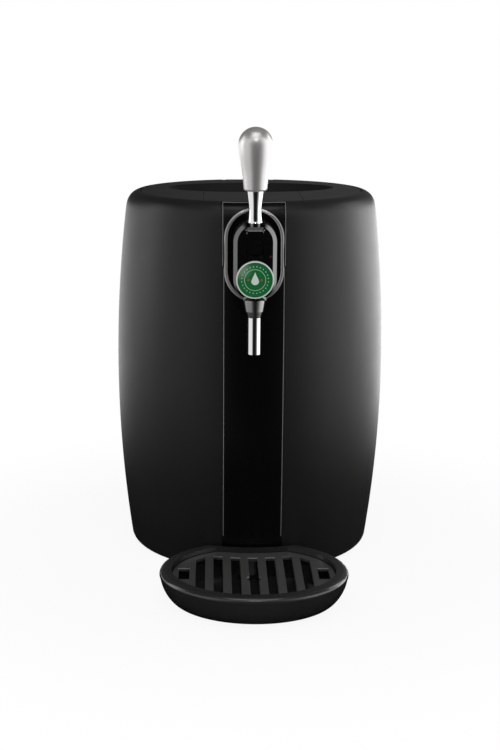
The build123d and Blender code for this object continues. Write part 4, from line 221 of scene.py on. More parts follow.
MOULDED = Finish("plain moulded black", (0.012, 0.012, 0.012), (0.018, 0.017, 0.017), 0.5, 0.06,
                 specular=0.4, grain_scale=1100.0, relief=0.2)
TRAY = Finish("satin black tray", (0.017, 0.0166, 0.0162), (0.022, 0.0215, 0.0210), 0.26, 0.04,
              specular=0.5, coat=0.5, coat_roughness=0.06, grain=Grain.PEEL, grain_scale=180.0,
              relief=0.04, depth=0.0002)
GRID = Finish("satin dark grey grid", (0.050, 0.049, 0.048), (0.062, 0.0605, 0.059), 0.30, 0.05,
              specular=0.5, coat=0.3, coat_roughness=0.08, grain=Grain.PEEL, grain_scale=220.0,
              relief=0.06, depth=0.0002)
SATIN = Finish("bead blasted aluminium", (0.62, 0.61, 0.60), (0.70, 0.69, 0.68), 0.36, 0.03,
               metallic=0.72, grain_scale=2600.0, relief=0.10, depth=0.00008)
DRAWN_CUP = Finish("drawn aluminium cup", (0.60, 0.60, 0.61), (0.68, 0.68, 0.69), 0.42, 0.06,
                   metallic=0.7, grain=Grain.DRAWN, grain_scale=900.0, relief=0.25, depth=0.0001)
MILLED = Finish("milled aluminium", (0.55, 0.55, 0.56), (0.64, 0.64, 0.65), 0.38, 0.06, metallic=1.0,
                grain=Grain.TURNED, grain_scale=700.0, relief=0.2)
CHROME = Finish("bright chrome", (0.86, 0.86, 0.87), (0.92, 0.92, 0.93), 0.035, 0.012, metallic=1.0,
                grain=Grain.PEEL, grain_scale=90.0, relief=0.02)
STEEL = Finish("zinc plated steel", (0.52, 0.52, 0.53), (0.62, 0.62, 0.61), 0.28, 0.06, metallic=1.0,
               grain=Grain.TURNED, grain_scale=1200.0, relief=0.15)
PLATED = Finish("plated brass pins", (0.66, 0.56, 0.36), (0.74, 0.64, 0.44), 0.22, 0.05, metallic=1.0,
                grain=Grain.DRAWN, grain_scale=1500.0, relief=0.12)
RUBBER = Finish("dull black rubber", (0.012, 0.012, 0.012), (0.019, 0.019, 0.018), 0.78, 0.08,
                specular=0.3, grain_scale=900.0, relief=0.3)
FOAM = Finish("moulded grey foam", (0.30, 0.30, 0.29), (0.38, 0.38, 0.37), 0.9, 0.05, specular=0.2,
              grain=Grain.CELLS, grain_scale=420.0, relief=0.5, depth=0.0004)
CERAMIC = Finish("white ceramic plate", (0.72, 0.72, 0.69), (0.80, 0.80, 0.77), 0.55, 0.06,
                 grain_scale=800.0, relief=0.2)
BOARD = Finish("green solder mask", (0.008, 0.075, 0.030), (0.012, 0.100, 0.042), 0.35, 0.05,
               grain_scale=500.0, relief=0.25)
LENS = Finish("smoked red lens", (0.060, 0.006, 0.005), (0.085, 0.009, 0.007), 0.08, 0.02,
              transmission=0.3, grain=Grain.PEEL, grain_scale=200.0, relief=0.02)
BADGE_RED = Finish("red badge print", (0.55, 0.010, 0.016), (0.66, 0.016, 0.024), 0.3, 0.03, coat=0.8,
                   coat_roughness=0.04, grain=Grain.PEEL, grain_scale=120.0, relief=0.03)
BADGE_PALE = Finish("pale badge print", (0.66, 0.74, 0.68), (0.76, 0.82, 0.77), 0.3, 0.03, coat=0.8,
                    coat_roughness=0.04, grain=Grain.PEEL, grain_scale=120.0, relief=0.03)


@dataclass(frozen=True)
class PaintedHighlightFinish(Finish):
    """A finish with a painted highlight: it pales towards one place on the front, for a soft light
    mirrored in a clear dome over a print.
    """

    pale: Color = (0.30, 0.45, 0.34)
    highlight_at: Place = (0.0, 0.0)
    highlight_reach: float = 10.0 * MM
    highlight_share: float = 0.6

    def _color(self, tree: bpy.types.NodeTree, shader: bpy.types.Node, place: bpy.types.Node) -> None:
        """Mix the pale tint, a painted highlight, over the drifting colour, by the distance from its
        place.

        Args:
            tree: the material's node tree.
            shader: the surface shader.
            place: the texture coordinates.
        """
        super()._color(tree, shader, place)
        drifting = shader.inputs["Base Color"].links[0].from_socket
        flat = tree.nodes.new("ShaderNodeVectorMath")
        flat.operation = "MULTIPLY"
        flat.inputs[1].default_value = (1.0, 0.0, 1.0)
        away = tree.nodes.new("ShaderNodeVectorMath")
        away.operation = "DISTANCE"
        away.inputs[1].default_value = (self.highlight_at[0], 0.0, self.highlight_at[1])
        fade = tree.nodes.new("ShaderNodeMapRange")
        fade.interpolation_type = "SMOOTHERSTEP"
        fade.inputs["From Max"].default_value = self.highlight_reach
        fade.inputs["To Min"].default_value = self.highlight_share
        fade.inputs["To Max"].default_value = 0.0
        mix = tree.nodes.new("ShaderNodeMix")
        mix.data_type = "RGBA"
        mix.inputs[COLOR_B].default_value = (*self.pale, 1.0)
        tree.links.new(place.outputs["Object"], flat.inputs[0])
        tree.links.new(flat.outputs[0], away.inputs[0])
        tree.links.new(away.outputs["Value"], fade.inputs["Value"])
        tree.links.new(fade.outputs["Result"], mix.inputs[0])
        tree.links.new(drifting, mix.inputs[COLOR_A])
        tree.links.new(mix.outputs[COLOR_OUT], shader.inputs["Base Color"])


# green print with a painted highlight: it pales towards its upper left, for a soft light mirrored in the
# badge's dome
BADGE_FIELD_AND_HIGHLIGHT = PaintedHighlightFinish("green badge field with painted highlight", (0.004, 0.160, 0.036), (0.006, 0.185, 0.045), 0.25,
                          0.03, coat=0.5, coat_roughness=0.04, grain=Grain.PEEL, grain_scale=120.0,
                          relief=0.03, patch_scale=60.0, highlight_at=(-13.0 * MM, 312.0 * MM),
                          highlight_reach=13.0 * MM)


# ---------------------------------------------------------------- making meshes
def dress(piece: bpy.types.Object, finish: Finish, edge: float = 0.0) -> None:
    """Give a piece one finish and smooth shading, with its sharp edges kept or rounded.

    Args:
        piece: the mesh object.
        finish: what its surface is.
        edge: width in metres of the small round on its edges, or none.
    """
    piece.data.materials.clear()
    piece.data.materials.append(finish.material())
    for polygon in piece.data.polygons:
        polygon.material_index = 0
        polygon.use_smooth = True
    piece.data.set_sharp_from_angle(angle=SHARP_TURN)
    if edge > 0.0:
        rounding = piece.modifiers.new("edge round", "BEVEL")
        rounding.width = edge
        rounding.segments = ROUND_STEPS
        rounding.limit_method = "ANGLE"
        rounding.angle_limit = ROUND_TURN
        rounding.use_clamp_overlap = False
        rounding.harden_normals = True


def dress_nodes(finish: Finish, *nodes: str, edge: float = 0.0) -> None:
    """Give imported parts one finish.

    Args:
        finish: what their surface is.
        nodes: the parts' names.
        edge: width in metres of the small round on their edges, or none.
    """
    for node in nodes:
        dress(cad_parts[node], finish, edge)
        LOG.info("dressed %s in %s", node, finish.name)


def new_piece(name: str, shape: bmesh.types.BMesh, body: str, finish: Finish) -> bpy.types.Object:
    """Turn a finished bmesh into a piece that rides on a body.

    Args:
        name: the piece's name.
        shape: its mesh, in metres in the parts' frame. It is freed.
        body: the body that carries it.
        finish: what its surface is.

    Returns:
        The new object.
    """
    bmesh.ops.remove_doubles(shape, verts=shape.verts, dist=SAME_PLACE)
    bmesh.ops.recalc_face_normals(shape, faces=shape.faces)
    mesh = bpy.data.meshes.new(name)
    shape.to_mesh(mesh)
    shape.free()
    piece = bpy.data.objects.new(name, mesh)
    bpy.context.scene.collection.objects.link(piece)
    dress(piece, finish)
    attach(piece, body)
    LOG.info("made %s, %d faces, on %s", name, len(mesh.polygons), body)
    return piece


@dataclass
class FrontProbe:
    """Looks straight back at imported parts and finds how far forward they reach."""

    nodes: tuple[str, ...]
    start: float = -1.0
    front: float = -0.12
    tree: BVHTree = field(init=False)

    def __post_init__(self) -> None:
        """Gather the parts' surfaces once."""
        shape = bmesh.new()
        for node in self.nodes:
            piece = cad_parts[node]
            surface = piece.data.copy()
            surface.transform(piece.matrix_world)
            shape.from_mesh(surface)
            bpy.data.meshes.remove(surface)
        self.tree = BVHTree.FromBMesh(shape)
        shape.free()

    def depth(self, x: float, z: float) -> float:
        """Find the y of the foremost surface.

        Args:
            x: place across the front.
            z: place up the front.

        Returns:
            The y there, or that of the nearest place if there is nothing straight behind.
        """
        hit = self.tree.ray_cast(Vector((x, self.start, z)), Vector((0.0, 1.0, 0.0)))[0]
        if hit is None:
            hit = self.tree.find_nearest(Vector((x, self.front, z)))[0]
        return hit.y


def bead(shape: bmesh.types.BMesh, path: list[Place], section: list[Place],
         depth: Callable[[float, float], float], closed: bool = False) -> None:
    """Lay a bead along a path drawn on the front, over the surface behind it.

    Args:
        shape: the bmesh that it is added to.
        path: places across and up the front.
        section: its outline, as pairs of distance to the path's left and height over the surface.
        depth: gives the y of the surface at a place.
        closed: whether the path's end meets its start.
    """
    rings = []
    count = len(path)
    for index, (x, z) in enumerate(path):
        before = path[(index - 1) % count] if closed or index > 0 else path[0]
        after = path[(index + 1) % count] if closed or index < count - 1 else path[-1]
        along = Vector((after[0] - before[0], 0.0, after[1] - before[1])).normalized()
        left = Vector((-along.z, 0.0, along.x))
        ring = []
        for aside, lift in section:
            place = Vector((x, 0.0, z)) + left * aside
            place.y = depth(place.x, place.z) - lift
            ring.append(shape.verts.new(place))
        rings.append(ring)
    sides = len(section)
    for index in range(count if closed else count - 1):
        this, following = rings[index], rings[(index + 1) % count]
        for side in range(sides):
            beyond = (side + 1) % sides
            shape.faces.new((this[side], this[beyond], following[beyond], following[side]))
    if not closed:
        shape.faces.new(rings[0])
        shape.faces.new(list(reversed(rings[-1])))


def round_section(radius: float, sides: int = 8) -> list[Place]:
    """Draw a small round section for a bead.

    Args:
        radius: its radius.
        sides: how many flats stand in for the round.

    Returns:
        Pairs of distance aside and height.
    """
    turns = [2.0 * math.pi * side / sides for side in range(sides)]
    return [(radius * math.cos(turn), radius * math.sin(turn)) for turn in turns]


def straight(start: Place, end: Place, steps: int) -> list[Place]:
    """Divide a straight line on the front into steps.

    Args:
        start: its first place.
        end: its last place.
        steps: how many steps.

    Returns:
        The places.
    """
    shares = [step / steps for step in range(steps + 1)]
    return [(start[0] + (end[0] - start[0]) * share, start[1] + (end[1] - start[1]) * share)
            for share in shares]


def stadium(half_width: float, low: float, high: float, steps: int) -> list[Place]:
    """Draw an upright outline with round ends on the front.

    Args:
        half_width: half its width, the radius of its ends.
        low: height of its lowest place.
        high: height of its highest place.
        steps: steps round each end.

    Returns:
        The places, anticlockwise as the user sees them.
    """
    places = []
    for middle, first in ((high - half_width, 0.0), (low + half_width, math.pi)):
        for step in range(steps + 1):
            turn = first + math.pi * step / steps
            places.append((half_width * math.cos(turn), middle + half_width * math.sin(turn)))
    return places


# ---------------------------------------------------------------- sub-assemblies
@dataclass
class Casing:
    """Barrel shells, front strip, rear housing and base."""

    shells: tuple[str, ...] = ("left_side_shell", "right_side_shell", "rear_housing", "base_pan")
    strips: tuple[str, ...] = ("upper_front_panel", "lower_front_panel")
    strip_round: float = 0.8 * MM
    moulded: tuple[str, ...] = ("top_deck", "rear_grille", "switch_bezel", "power_rocker", "mains_inlet")

    def build(self) -> None:
        """Dress the casing's parts."""
        dress_nodes(SHELL, *self.shells)
        dress_nodes(STRIP, *self.strips, edge=self.strip_round)
        dress_nodes(MOULDED, *self.moulded)
        dress_nodes(RUBBER, "rubber_feet")
        dress_nodes(STEEL, "base_screws", "housing_screws")
        dress_nodes(PLATED, "inlet_pins")


@dataclass
class FrontHighlights:
    """Painted highlights round the tap's recess and down the front strip: a pale plated skin on the
    recess's rounded lip, and pale beads on the strip's edges.
    """

    mouth_half_width: float = 24.5 * MM
    mouth_low: float = 281.2 * MM
    mouth_high: float = 361.0 * MM
    mouth_gap: float = 0.1 * MM
    lip_width: float = 3.6 * MM
    lip_base: float = 0.02 * MM
    lip_lift: float = 0.22 * MM
    lip_sink: float = 0.30 * MM
    lip_steps: int = 6
    end_steps: int = 32
    edge_radius: float = 0.36 * MM
    edge_inset: float = 0.5 * MM
    edge_steps: int = 24
    tray_clear: float = 34.0 * MM

    def build(self) -> None:
        """Make the painted highlights on the lip and the edges."""
        probe = FrontProbe(("upper_front_panel", "lower_front_panel"))
        self._lip_highlight(probe)
        self._edge_highlights(probe)

    def _lip_highlight(self, probe: FrontProbe) -> None:
        """Lay the lip's painted highlight, a pale plated skin, on the rounded edge of the recess.

        Args:
            probe: finds the strip's surface.
        """
        across = [self.lip_width * step / self.lip_steps for step in range(self.lip_steps + 1)]
        over = [(-aside, self.lip_base + self.lip_lift * math.sin(math.pi * aside / self.lip_width))
                for aside in across]
        under = [(aside, -self.lip_sink) for aside, _ in reversed(over)]
        shape = bmesh.new()
        mouth = stadium(self.mouth_half_width + self.mouth_gap, self.mouth_low - self.mouth_gap,
                        self.mouth_high + self.mouth_gap, self.end_steps)
        bead(shape, mouth, over + under, probe.depth, closed=True)
        # the skin is a painted highlight on the recess's rounded edge
        new_piece("recess_lip_highlight", shape, "casing", PAINTED_LIP_HIGHLIGHT)

    def _edge_highlights(self, probe: FrontProbe) -> None:
        """Lay painted highlights, pale beads, down both sides of the strip and over its top.

        Args:
            probe: finds the strip's surface.
        """
        shape = bmesh.new()
        section = round_section(self.edge_radius)
        for node, clear in (("upper_front_panel", 0.0), ("lower_front_panel", self.tray_clear)):
            low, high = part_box(node)
            half = high[0] - self.edge_inset
            for side in (-1.0, 1.0):
                path = straight((side * half, low[2] + clear + self.edge_inset),
                                (side * half, high[2] - self.edge_inset), self.edge_steps)
                inside = side * (half - self.edge_inset)
                bead(shape, path, section, lambda x, z, at=inside: probe.depth(at, z))
        low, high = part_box("upper_front_panel")
        half = high[0] - self.edge_inset
        level = high[2] - self.edge_inset
        bead(shape, straight((-half, level), (half, level), self.edge_steps), section,
             lambda x, z: probe.depth(x, level - self.edge_inset))
        # these beads are painted highlights on the strip's edges
        new_piece("strip_edge_highlights", shape, "casing", PAINTED_EDGE_HIGHLIGHT)


@dataclass
class Cooling:
    """Chamber, its foam and the thermoelectric unit."""

    def build(self) -> None:
        """Dress the inner parts."""
        dress_nodes(DRAWN_CUP, "keg_chamber")
        dress_nodes(RUBBER, "keg_support_pad")
        dress_nodes(FOAM, "insulation_jacket")
        dress_nodes(MILLED, "cold_block", "heat_sink")
        dress_nodes(CERAMIC, "peltier_module")
        dress_nodes(MOULDED, "fan_frame", "fan_rotor", "power_supply")
        dress_nodes(BOARD, "control_board")


@dataclass
class Lid:
    """Lid with its dish, paddle, latch and hinge."""

    def build(self) -> None:
        """Dress the lid's parts."""
        dress_nodes(LID, "lid_outer", "lid_release_paddle")
        dress_nodes(MOULDED, "lid_liner", "lid_latch")
        dress_nodes(FOAM, "lid_insulation")
        dress_nodes(RUBBER, "lid_gasket")
        dress_nodes(STEEL, "hinge_bracket", "hinge_screws", "lid_hinge_pin", "paddle_pin",
                    "paddle_spring", "latch_pin")


@dataclass
class Tap:
    """Tap capsule, badge, nozzle and spout."""

    edge_round: float = 0.3 * MM
    ring_radius: float = 9.8 * MM
    ring_width: float = 0.3 * MM
    ring_steps: int = 48
    dot_count: int = 24
    dot_circle: float = 12.4 * MM
    dot_radius: float = 0.45 * MM
    dot_sides: int = 12
    drop_sink: float = 1.0 * MM
    drop_radius: float = 3.6 * MM
    drop_height: float = 8.6 * MM
    drop_sides: int = 24
    drop_taper: float = 0.8
    bead_aside: float = 6.0 * MM
    bead_radius: float = 0.9 * MM
    ink: float = 0.05 * MM
    spot_lift: float = 0.13 * MM
    rib_radius: float = 0.42 * MM
    notch_low: float = 348.4 * MM
    notch_inside: float = 7.7 * MM
    notch_outside: float = 8.8 * MM
    notch_middle: float = 8.4 * MM
    notch_drop: float = 0.5 * MM
    rib_count: int = 5
    rib_steps: int = 2
    bar_steps: int = 4
    rib_pitch: float = 2.4 * MM
    rib_low: float = 347.3 * MM
    rib_length: float = 1.1 * MM
    bar_reach: float = 7.0 * MM
    rib_drop: float = 0.6 * MM

    def build(self) -> None:
        """Dress the tap's parts, print the badge and lay the painted highlights on the notch's and the
        lever's edges.
        """
        dress_nodes(PIANO, "tap_cover", edge=self.edge_round)
        dress_nodes(DARK_CHROME, "tap_body", "nozzle_cone", "nozzle_collar", edge=self.edge_round)
        dress_nodes(CHROME, "spout_tube", edge=self.edge_round)
        dress_nodes(BADGE_PALE, "badge_bezel")
        dress_nodes(STEEL, "tap_screws", "handle_pin", "pinch_spring")
        dress_nodes(MOULDED, "pinch_slider")
        dress_nodes(BADGE_FIELD_AND_HIGHLIGHT, "badge_disc")
        dress_nodes(LENS, "indicator_lens")
        self._badge()
        self._notch()
        self._ribs()

    def _badge(self) -> None:
        """Print the badge: a drop between two beads, in a thin ring and a ring of dots."""
        probe = FrontProbe(("badge_disc",))
        low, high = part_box("badge_disc")
        middle = (low[2] + high[2]) / 2.0
        self._ring(probe, middle)
        dots = []
        for index in range(self.dot_count):
            turn = 2.0 * math.pi * (index + 0.5) / self.dot_count
            place = (self.dot_circle * math.cos(turn), middle + self.dot_circle * math.sin(turn))
            dots.append(self._dot(place, self.dot_radius))
        self._spots("badge_dots", BADGE_PALE, probe, dots)
        self._spots("badge_drop", BADGE_PALE, probe, [self._drop((0.0, middle - self.drop_sink))])
        self._spots("badge_beads", BADGE_RED, probe,
                    [self._dot((side * self.bead_aside, middle), self.bead_radius)
                     for side in (-1.0, 1.0)])

    def _ring(self, probe: FrontProbe, middle: float) -> None:
        """Print the thin ring on the badge.

        Args:
            probe: finds the badge's surface.
            middle: height of the badge's middle.
        """
        half = self.ring_width / 2
        section = [(-half, self.ink), (half, self.ink), (half, -self.ink), (-half, -self.ink)]
        path = stadium(self.ring_radius, middle - self.ring_radius, middle + self.ring_radius,
                       self.ring_steps)
        shape = bmesh.new()
        bead(shape, path, section, probe.depth, closed=True)
        new_piece("badge_ring", shape, "cover", BADGE_PALE)

    def _spots(self, name: str, finish: Finish, probe: FrontProbe, outlines: list[list[Place]]) -> None:
        """Print filled outlines on the badge.

        Args:
            name: the piece's name.
            finish: the print's finish.
            probe: finds the badge's surface.
            outlines: each spot's outline, anticlockwise.
        """
        shape = bmesh.new()
        for outline in outlines:
            over = [shape.verts.new((x, probe.depth(x, z) - self.spot_lift, z)) for x, z in outline]
            under = [shape.verts.new((x, probe.depth(x, z) + self.ink, z)) for x, z in outline]
            count = len(outline)
            shape.faces.new(over)
            shape.faces.new(list(reversed(under)))
            for index in range(count):
                beyond = (index + 1) % count
                shape.faces.new((over[index], under[index], under[beyond], over[beyond]))
        new_piece(name, shape, "cover", finish)

    def _dot(self, middle: Place, radius: float) -> list[Place]:
        """Draw a small round dot.

        Args:
            middle: its middle.
            radius: its radius.

        Returns:
            Its outline.
        """
        turns = [2.0 * math.pi * side / self.dot_sides for side in range(self.dot_sides)]
        return [(middle[0] + radius * math.cos(turn), middle[1] + radius * math.sin(turn))
                for turn in turns]

    def _drop(self, middle: Place) -> list[Place]:
        """Draw a drop with its point up.

        Args:
            middle: the middle of its round end.

        Returns:
            Its outline.
        """
        places = []
        for side in range(self.drop_sides):
            turn = math.pi * (0.5 + 2.0 * side / self.drop_sides)
            rise = math.sin(turn)
            narrow = 1.0 if rise < 0.0 else (1.0 - rise) ** self.drop_taper
            reach = self.drop_height if rise > 0.0 else self.drop_radius
            places.append((middle[0] + self.drop_radius * math.cos(turn) * narrow,
                           middle[1] + reach * rise))
        return places

    def _notch(self) -> None:
        """Lay a painted highlight, a pale bead, on the edge at both ends of the notch's foot."""
        probe = FrontProbe(("tap_cover",))
        edge = self.notch_low - self.rib_radius
        face = probe.depth(self.notch_middle, edge - self.notch_drop)
        shape = bmesh.new()
        for start, end in ((-self.notch_outside, -self.notch_inside),
                           (self.notch_inside, self.notch_outside)):
            bead(shape, straight((start, edge), (end, edge), self.rib_steps),
                 round_section(self.rib_radius), lambda x, z: face)
        # the beads are painted highlights on the notch's edge
        new_piece("notch_edge_highlight", shape, "cover", PAINTED_EDGE_HIGHLIGHT)

    def _ribs(self) -> None:
        """Lay a painted highlight, a pale bead, across the lever's face, with small ribs above it in the
        same pale finish.
        """
        probe = FrontProbe(("handle_lever",))
        face = probe.depth(0.0, self.rib_low - self.rib_drop)
        section = round_section(self.rib_radius)
        shape = bmesh.new()
        bar = straight((-self.bar_reach, self.rib_low), (self.bar_reach, self.rib_low), self.bar_steps)
        bead(shape, bar, section, lambda x, z: face)
        for index in range(self.rib_count):
            x = (index - (self.rib_count - 1) / 2) * self.rib_pitch
            rib = straight((x, self.rib_low), (x, self.rib_low + self.rib_length), self.rib_steps)
            bead(shape, rib, section, lambda x, z: face)
        # the bar and ribs are painted highlights on the lever's edge
        new_piece("lever_rib_highlights", shape, "handle", PAINTED_EDGE_HIGHLIGHT)


@dataclass
class Handle:
    """Grip, chrome neck and black lever."""

    grip_round: float = 1.4 * MM
    lever_round: float = 0.5 * MM

    def build(self) -> None:
        """Dress the handle's parts."""
        dress_nodes(SATIN, "handle_grip", edge=self.grip_round)
        dress_nodes(CHROME, "handle_neck")
        dress_nodes(PIANO, "handle_lever", edge=self.lever_round)


@dataclass
class DripTray:
    """Tray and its grid."""

    edge_round: float = 0.4 * MM

    def build(self) -> None:
        """Dress the tray's parts."""
        dress_nodes(TRAY, "drip_tray", edge=self.edge_round)
        dress_nodes(GRID, "drip_grid", edge=self.edge_round)


# ---------------------------------------------------------------- studio
@dataclass(frozen=True)
class SoftBox:
    """A rectangular soft lamp: its middle, its width and height, and its watts."""

    name: str
    place: tuple[float, float, float]
    size: tuple[float, float]
    power: float

    def hang(self, target: Vector) -> None:
        """Hang the lamp.

        Args:
            target: the place that it faces.
        """
        data = bpy.data.lights.new(self.name, "AREA")
        data.shape = "RECTANGLE"
        data.size, data.size_y = self.size
        data.energy = self.power
        lamp = bpy.data.objects.new(self.name, data)
        bpy.context.scene.collection.objects.link(lamp)
        lamp.location = self.place
        lamp.rotation_euler = (target - lamp.location).to_track_quat("-Z", "Y").to_euler()
        LOG.info("hung %s, %.0f W", self.name, self.power)


@dataclass
class Studio:
    """Floor, backdrop light, lamps and camera.

    The camera stands square to the front, a little to the machine's left, and its picture is
    shifted back over the machine.
    """

    axis_y: float = 0.037
    distance: float = 1.390
    camera_height: float = 0.5077
    camera_left: float = 0.0412
    pitch: float = 13.5
    focal_pixels: float = 1350.0
    shift_pixels: float = 39.6
    image_height: int = 750
    sensor: float = 36.0
    floor_radius: float = 3.0
    floor_rings: int = 24
    floor_sides: int = 96
    floor_spread: float = 1.5
    floor_color: Color = (0.86, 0.86, 0.86)
    floor_dark_radius: float = 0.30
    floor_light_radius: float = 0.95
    shadow_share: float = 0.09
    shadow_reach: float = 0.50
    shadow_core: float = 0.4
    dome: float = 0.45
    front: float = 0.010
    left: float = 0.85
    right: float = 1.9
    behind: float = 2.2
    overhead: float = 0.035
    front_edge: float = -0.93
    left_end: float = -0.72
    right_end: float = -0.30
    middle_blend: float = 0.1
    behind_start: float = 0.25
    behind_end: float = 0.95
    high_start: float = 0.36
    high_end: float = 0.50
    behind_lean: float = 0.5
    floor_drop: float = 0.3
    target_height: float = 0.2
    boxes: tuple[SoftBox, ...] = (
        SoftBox("left box", (-1.6, 0.3, 0.7), (0.7, 1.4), 5.0),
        SoftBox("right box", (1.5, 0.7, 0.7), (0.8, 1.4), 8.0),
        SoftBox("top box", (0.0, -0.65, 1.9), (1.2, 0.8), 6.0),
        SoftBox("key box", (0.05, -1.35, 1.30), (0.24, 0.05), 2.2),
    )

    def build(self) -> None:
        """Make everything that isn't the object."""
        self._floor()
        self._world()
        for box in self.boxes:
            box.hang(Vector((0.0, self.axis_y, self.target_height)))
        self._camera()

    def _floor(self) -> None:
        """Lay a plain pale floor, a round sheet under the machine."""
        shape = bmesh.new()
        middle = shape.verts.new((0.0, 0.0, 0.0))
        ring = [middle] * self.floor_sides
        for step in range(1, self.floor_rings + 1):
            radius = self.floor_radius * (step / self.floor_rings) ** self.floor_spread
            wider = []
            for side in range(self.floor_sides):
                turn = 2.0 * math.pi * side / self.floor_sides
                wider.append(shape.verts.new((radius * math.cos(turn), radius * math.sin(turn), 0.0)))
            for side in range(self.floor_sides):
                after = (side + 1) % self.floor_sides
                corners = [ring[side], wider[side], wider[after], ring[after]]
                shape.faces.new(corners[:3] if step == 1 else corners)
            ring = wider
        mesh = bpy.data.meshes.new("floor")
        shape.to_mesh(mesh)
        shape.free()
        floor = bpy.data.objects.new("floor", mesh)
        bpy.context.scene.collection.objects.link(floor)
        floor.data.materials.append(self._floor_material())

    def _floor_material(self) -> bpy.types.Material:
        """Make the floor's paper: it shows white, keeps a soft shadow and mirrors dark, with painted
        shade near the machine.

        Returns:
            The floor's material.
        """
        made = bpy.data.materials.new("pale paper")
        made.use_nodes = True
        tree = made.node_tree
        tree.nodes.clear()
        path = tree.nodes.new("ShaderNodeLightPath")
        place = tree.nodes.new("ShaderNodeTexCoord")
        away = tree.nodes.new("ShaderNodeVectorMath")
        away.operation = "LENGTH"
        tree.links.new(place.outputs["Object"], away.inputs[0])
        clear = self._ramp(tree, away.outputs["Value"], self.shadow_core * self.shadow_reach,
                           self.shadow_reach, 1.0 - self.shadow_share, 1.0)
        seen = self._product(tree, path.outputs["Is Camera Ray"], clear)
        paper = tree.nodes.new("ShaderNodeBsdfDiffuse")
        paper.inputs["Color"].default_value = (*self.floor_color, 1.0)
        glow = tree.nodes.new("ShaderNodeEmission")
        shown = tree.nodes.new("ShaderNodeMixShader")
        tree.links.new(seen, shown.inputs["Fac"])
        tree.links.new(paper.outputs["BSDF"], shown.inputs[1])
        tree.links.new(glow.outputs["Emission"], shown.inputs[2])
        below = tree.nodes.new("ShaderNodeVectorMath")
        below.operation = "ADD"
        below.inputs[1].default_value = (0.0, 0.0, -self.floor_drop)
        tree.links.new(place.outputs["Object"], below.inputs[0])
        toward = tree.nodes.new("ShaderNodeVectorMath")
        toward.operation = "NORMALIZE"
        tree.links.new(below.outputs[0], toward.inputs[0])
        # painted shade: as mirrored, the floor is dark near the machine and brightens outwards
        open_floor = self._ramp(tree, away.outputs["Value"], self.floor_dark_radius,
                                self.floor_light_radius, 0.0, 1.0)
        mirror = tree.nodes.new("ShaderNodeEmission")
        tree.links.new(self._product(tree, self._studio(tree, toward.outputs[0]), open_floor),
                       mirror.inputs["Strength"])
        both = tree.nodes.new("ShaderNodeMixShader")
        output = tree.nodes.new("ShaderNodeOutputMaterial")
        tree.links.new(path.outputs["Is Glossy Ray"], both.inputs["Fac"])
        tree.links.new(shown.outputs["Shader"], both.inputs[1])
        tree.links.new(mirror.outputs["Emission"], both.inputs[2])
        tree.links.new(both.outputs["Shader"], output.inputs["Surface"])
        return made

    def _product(self, tree: bpy.types.NodeTree, one: bpy.types.NodeSocket,
                 other: bpy.types.NodeSocket) -> bpy.types.NodeSocket:
        """Multiply two values.

        Args:
            tree: the node tree.
            one: a value.
            other: another value.

        Returns:
            The product's socket.
        """
        times = tree.nodes.new("ShaderNodeMath")
        times.operation = "MULTIPLY"
        tree.links.new(one, times.inputs[0])
        tree.links.new(other, times.inputs[1])
        return times.outputs["Value"]

    def _studio(self, tree: bpy.types.NodeTree, toward: bpy.types.NodeSocket) -> bpy.types.NodeSocket:
        """Say how bright the mirrored studio is in each direction.

        It is dark on the user's side and overhead, brighter on the right than on the left, and
        brightest low down behind the machine.

        Args:
            tree: the node tree.
            toward: the unit vector towards the studio's wall.

        Returns:
            The brightness.
        """
        split = tree.nodes.new("ShaderNodeSeparateXYZ")
        tree.links.new(toward, split.inputs["Vector"])
        near_left = self._ramp(tree, split.outputs["Y"], self.front_edge, self.left_end, self.front,
                               self.left)
        near_right = self._ramp(tree, split.outputs["Y"], self.front_edge, self.right_end, self.front,
                                self.right)
        on_right = self._ramp(tree, split.outputs["X"], -self.middle_blend, self.middle_blend, 0.0,
                              1.0)
        level = tree.nodes.new("ShaderNodeMix")
        level.data_type = "FLOAT"
        tree.links.new(on_right, level.inputs[0])
        tree.links.new(near_left, level.inputs[VALUE_A])
        tree.links.new(near_right, level.inputs[VALUE_B])
        beside = self._ramp(tree, split.outputs["Y"], self.behind_start, self.behind_end, 1.0,
                            self.behind)
        lean = tree.nodes.new("ShaderNodeMath")
        lean.operation = "MULTIPLY_ADD"
        lean.inputs[1].default_value = self.behind_lean
        tree.links.new(split.outputs["Y"], lean.inputs[0])
        tree.links.new(split.outputs["Z"], lean.inputs[2])
        high = self._ramp(tree, lean.outputs["Value"], self.high_start, self.high_end, 1.0,
                          self.overhead)
        return self._product(tree, self._product(tree, beside, level.outputs[VALUE_OUT]), high)

    def _ramp(self, tree: bpy.types.NodeTree, source: bpy.types.NodeSocket, start: float, end: float,
              low: float, high: float) -> bpy.types.NodeSocket:
        """Turn one value into another over a smooth step.

        Args:
            tree: the node tree.
            source: the value that runs from start to end.
            start: where the step begins.
            end: where it ends.
            low: the result before the step.
            high: the result after it.

        Returns:
            The result's socket.
        """
        step = tree.nodes.new("ShaderNodeMapRange")
        step.interpolation_type = "SMOOTHSTEP"
        for name, value in (("From Min", start), ("From Max", end), ("To Min", low), ("To Max", high)):
            step.inputs[name].default_value = value
        tree.links.new(source, step.inputs["Value"])
        return step.outputs["Result"]

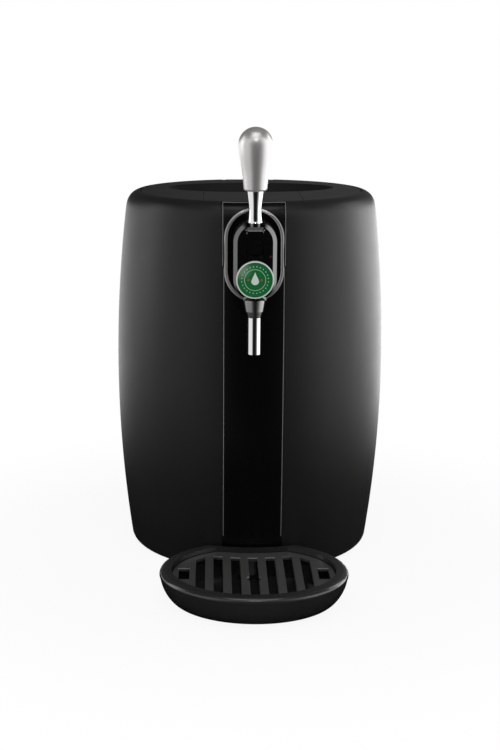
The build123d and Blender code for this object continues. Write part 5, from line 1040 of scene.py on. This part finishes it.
    def _world(self) -> None:
        """Make a white backdrop, and a studio that is dark on the user's side when mirrored."""
        world = bpy.data.worlds.new("studio")
        bpy.context.scene.world = world
        world.use_nodes = True
        tree = world.node_tree
        tree.nodes.clear()
        path = tree.nodes.new("ShaderNodeLightPath")
        place = tree.nodes.new("ShaderNodeTexCoord")
        mirrored = tree.nodes.new("ShaderNodeMix")
        mirrored.data_type = "FLOAT"
        mirrored.inputs[VALUE_A].default_value = self.dome
        tree.links.new(path.outputs["Is Glossy Ray"], mirrored.inputs[0])
        tree.links.new(self._studio(tree, place.outputs["Generated"]), mirrored.inputs[VALUE_B])
        seen = tree.nodes.new("ShaderNodeMath")
        seen.operation = "MAXIMUM"
        tree.links.new(path.outputs["Is Camera Ray"], seen.inputs[0])
        tree.links.new(path.outputs["Is Transmission Ray"], seen.inputs[1])
        light = tree.nodes.new("ShaderNodeMix")
        light.data_type = "FLOAT"
        light.inputs[VALUE_B].default_value = 1.0
        tree.links.new(seen.outputs["Value"], light.inputs[0])
        tree.links.new(mirrored.outputs[VALUE_OUT], light.inputs[VALUE_A])
        back = tree.nodes.new("ShaderNodeBackground")
        back.inputs["Color"].default_value = (1.0, 1.0, 1.0, 1.0)
        output = tree.nodes.new("ShaderNodeOutputWorld")
        tree.links.new(light.outputs[VALUE_OUT], back.inputs["Strength"])
        tree.links.new(back.outputs["Background"], output.inputs["Surface"])

    def _camera(self) -> None:
        """Set the camera square to the machine's front and a little above it."""
        data = bpy.data.cameras.new("camera")
        data.sensor_width = self.sensor
        data.lens = self.focal_pixels / self.image_height * self.sensor
        data.shift_x = self.shift_pixels / self.image_height
        camera = bpy.data.objects.new("camera", data)
        bpy.context.scene.collection.objects.link(camera)
        camera.location = (-self.camera_left, self.axis_y - self.distance, self.camera_height)
        camera.rotation_euler = (math.radians(90.0 - self.pitch), 0.0, 0.0)
        bpy.context.scene.camera = camera


def main() -> None:
    """Build the machine's looks and its studio."""
    logging.basicConfig(level=logging.INFO, format="%(name)s: %(message)s")
    bpy.context.scene.view_settings.view_transform = "Standard"
    for assembly in (Casing(), FrontHighlights(), Cooling(), Lid(), Tap(), Handle(), DripTray(), Studio()):
        assembly.build()
        LOG.info("%s done", type(assembly).__name__)


if __name__ == "__main__":
    main()
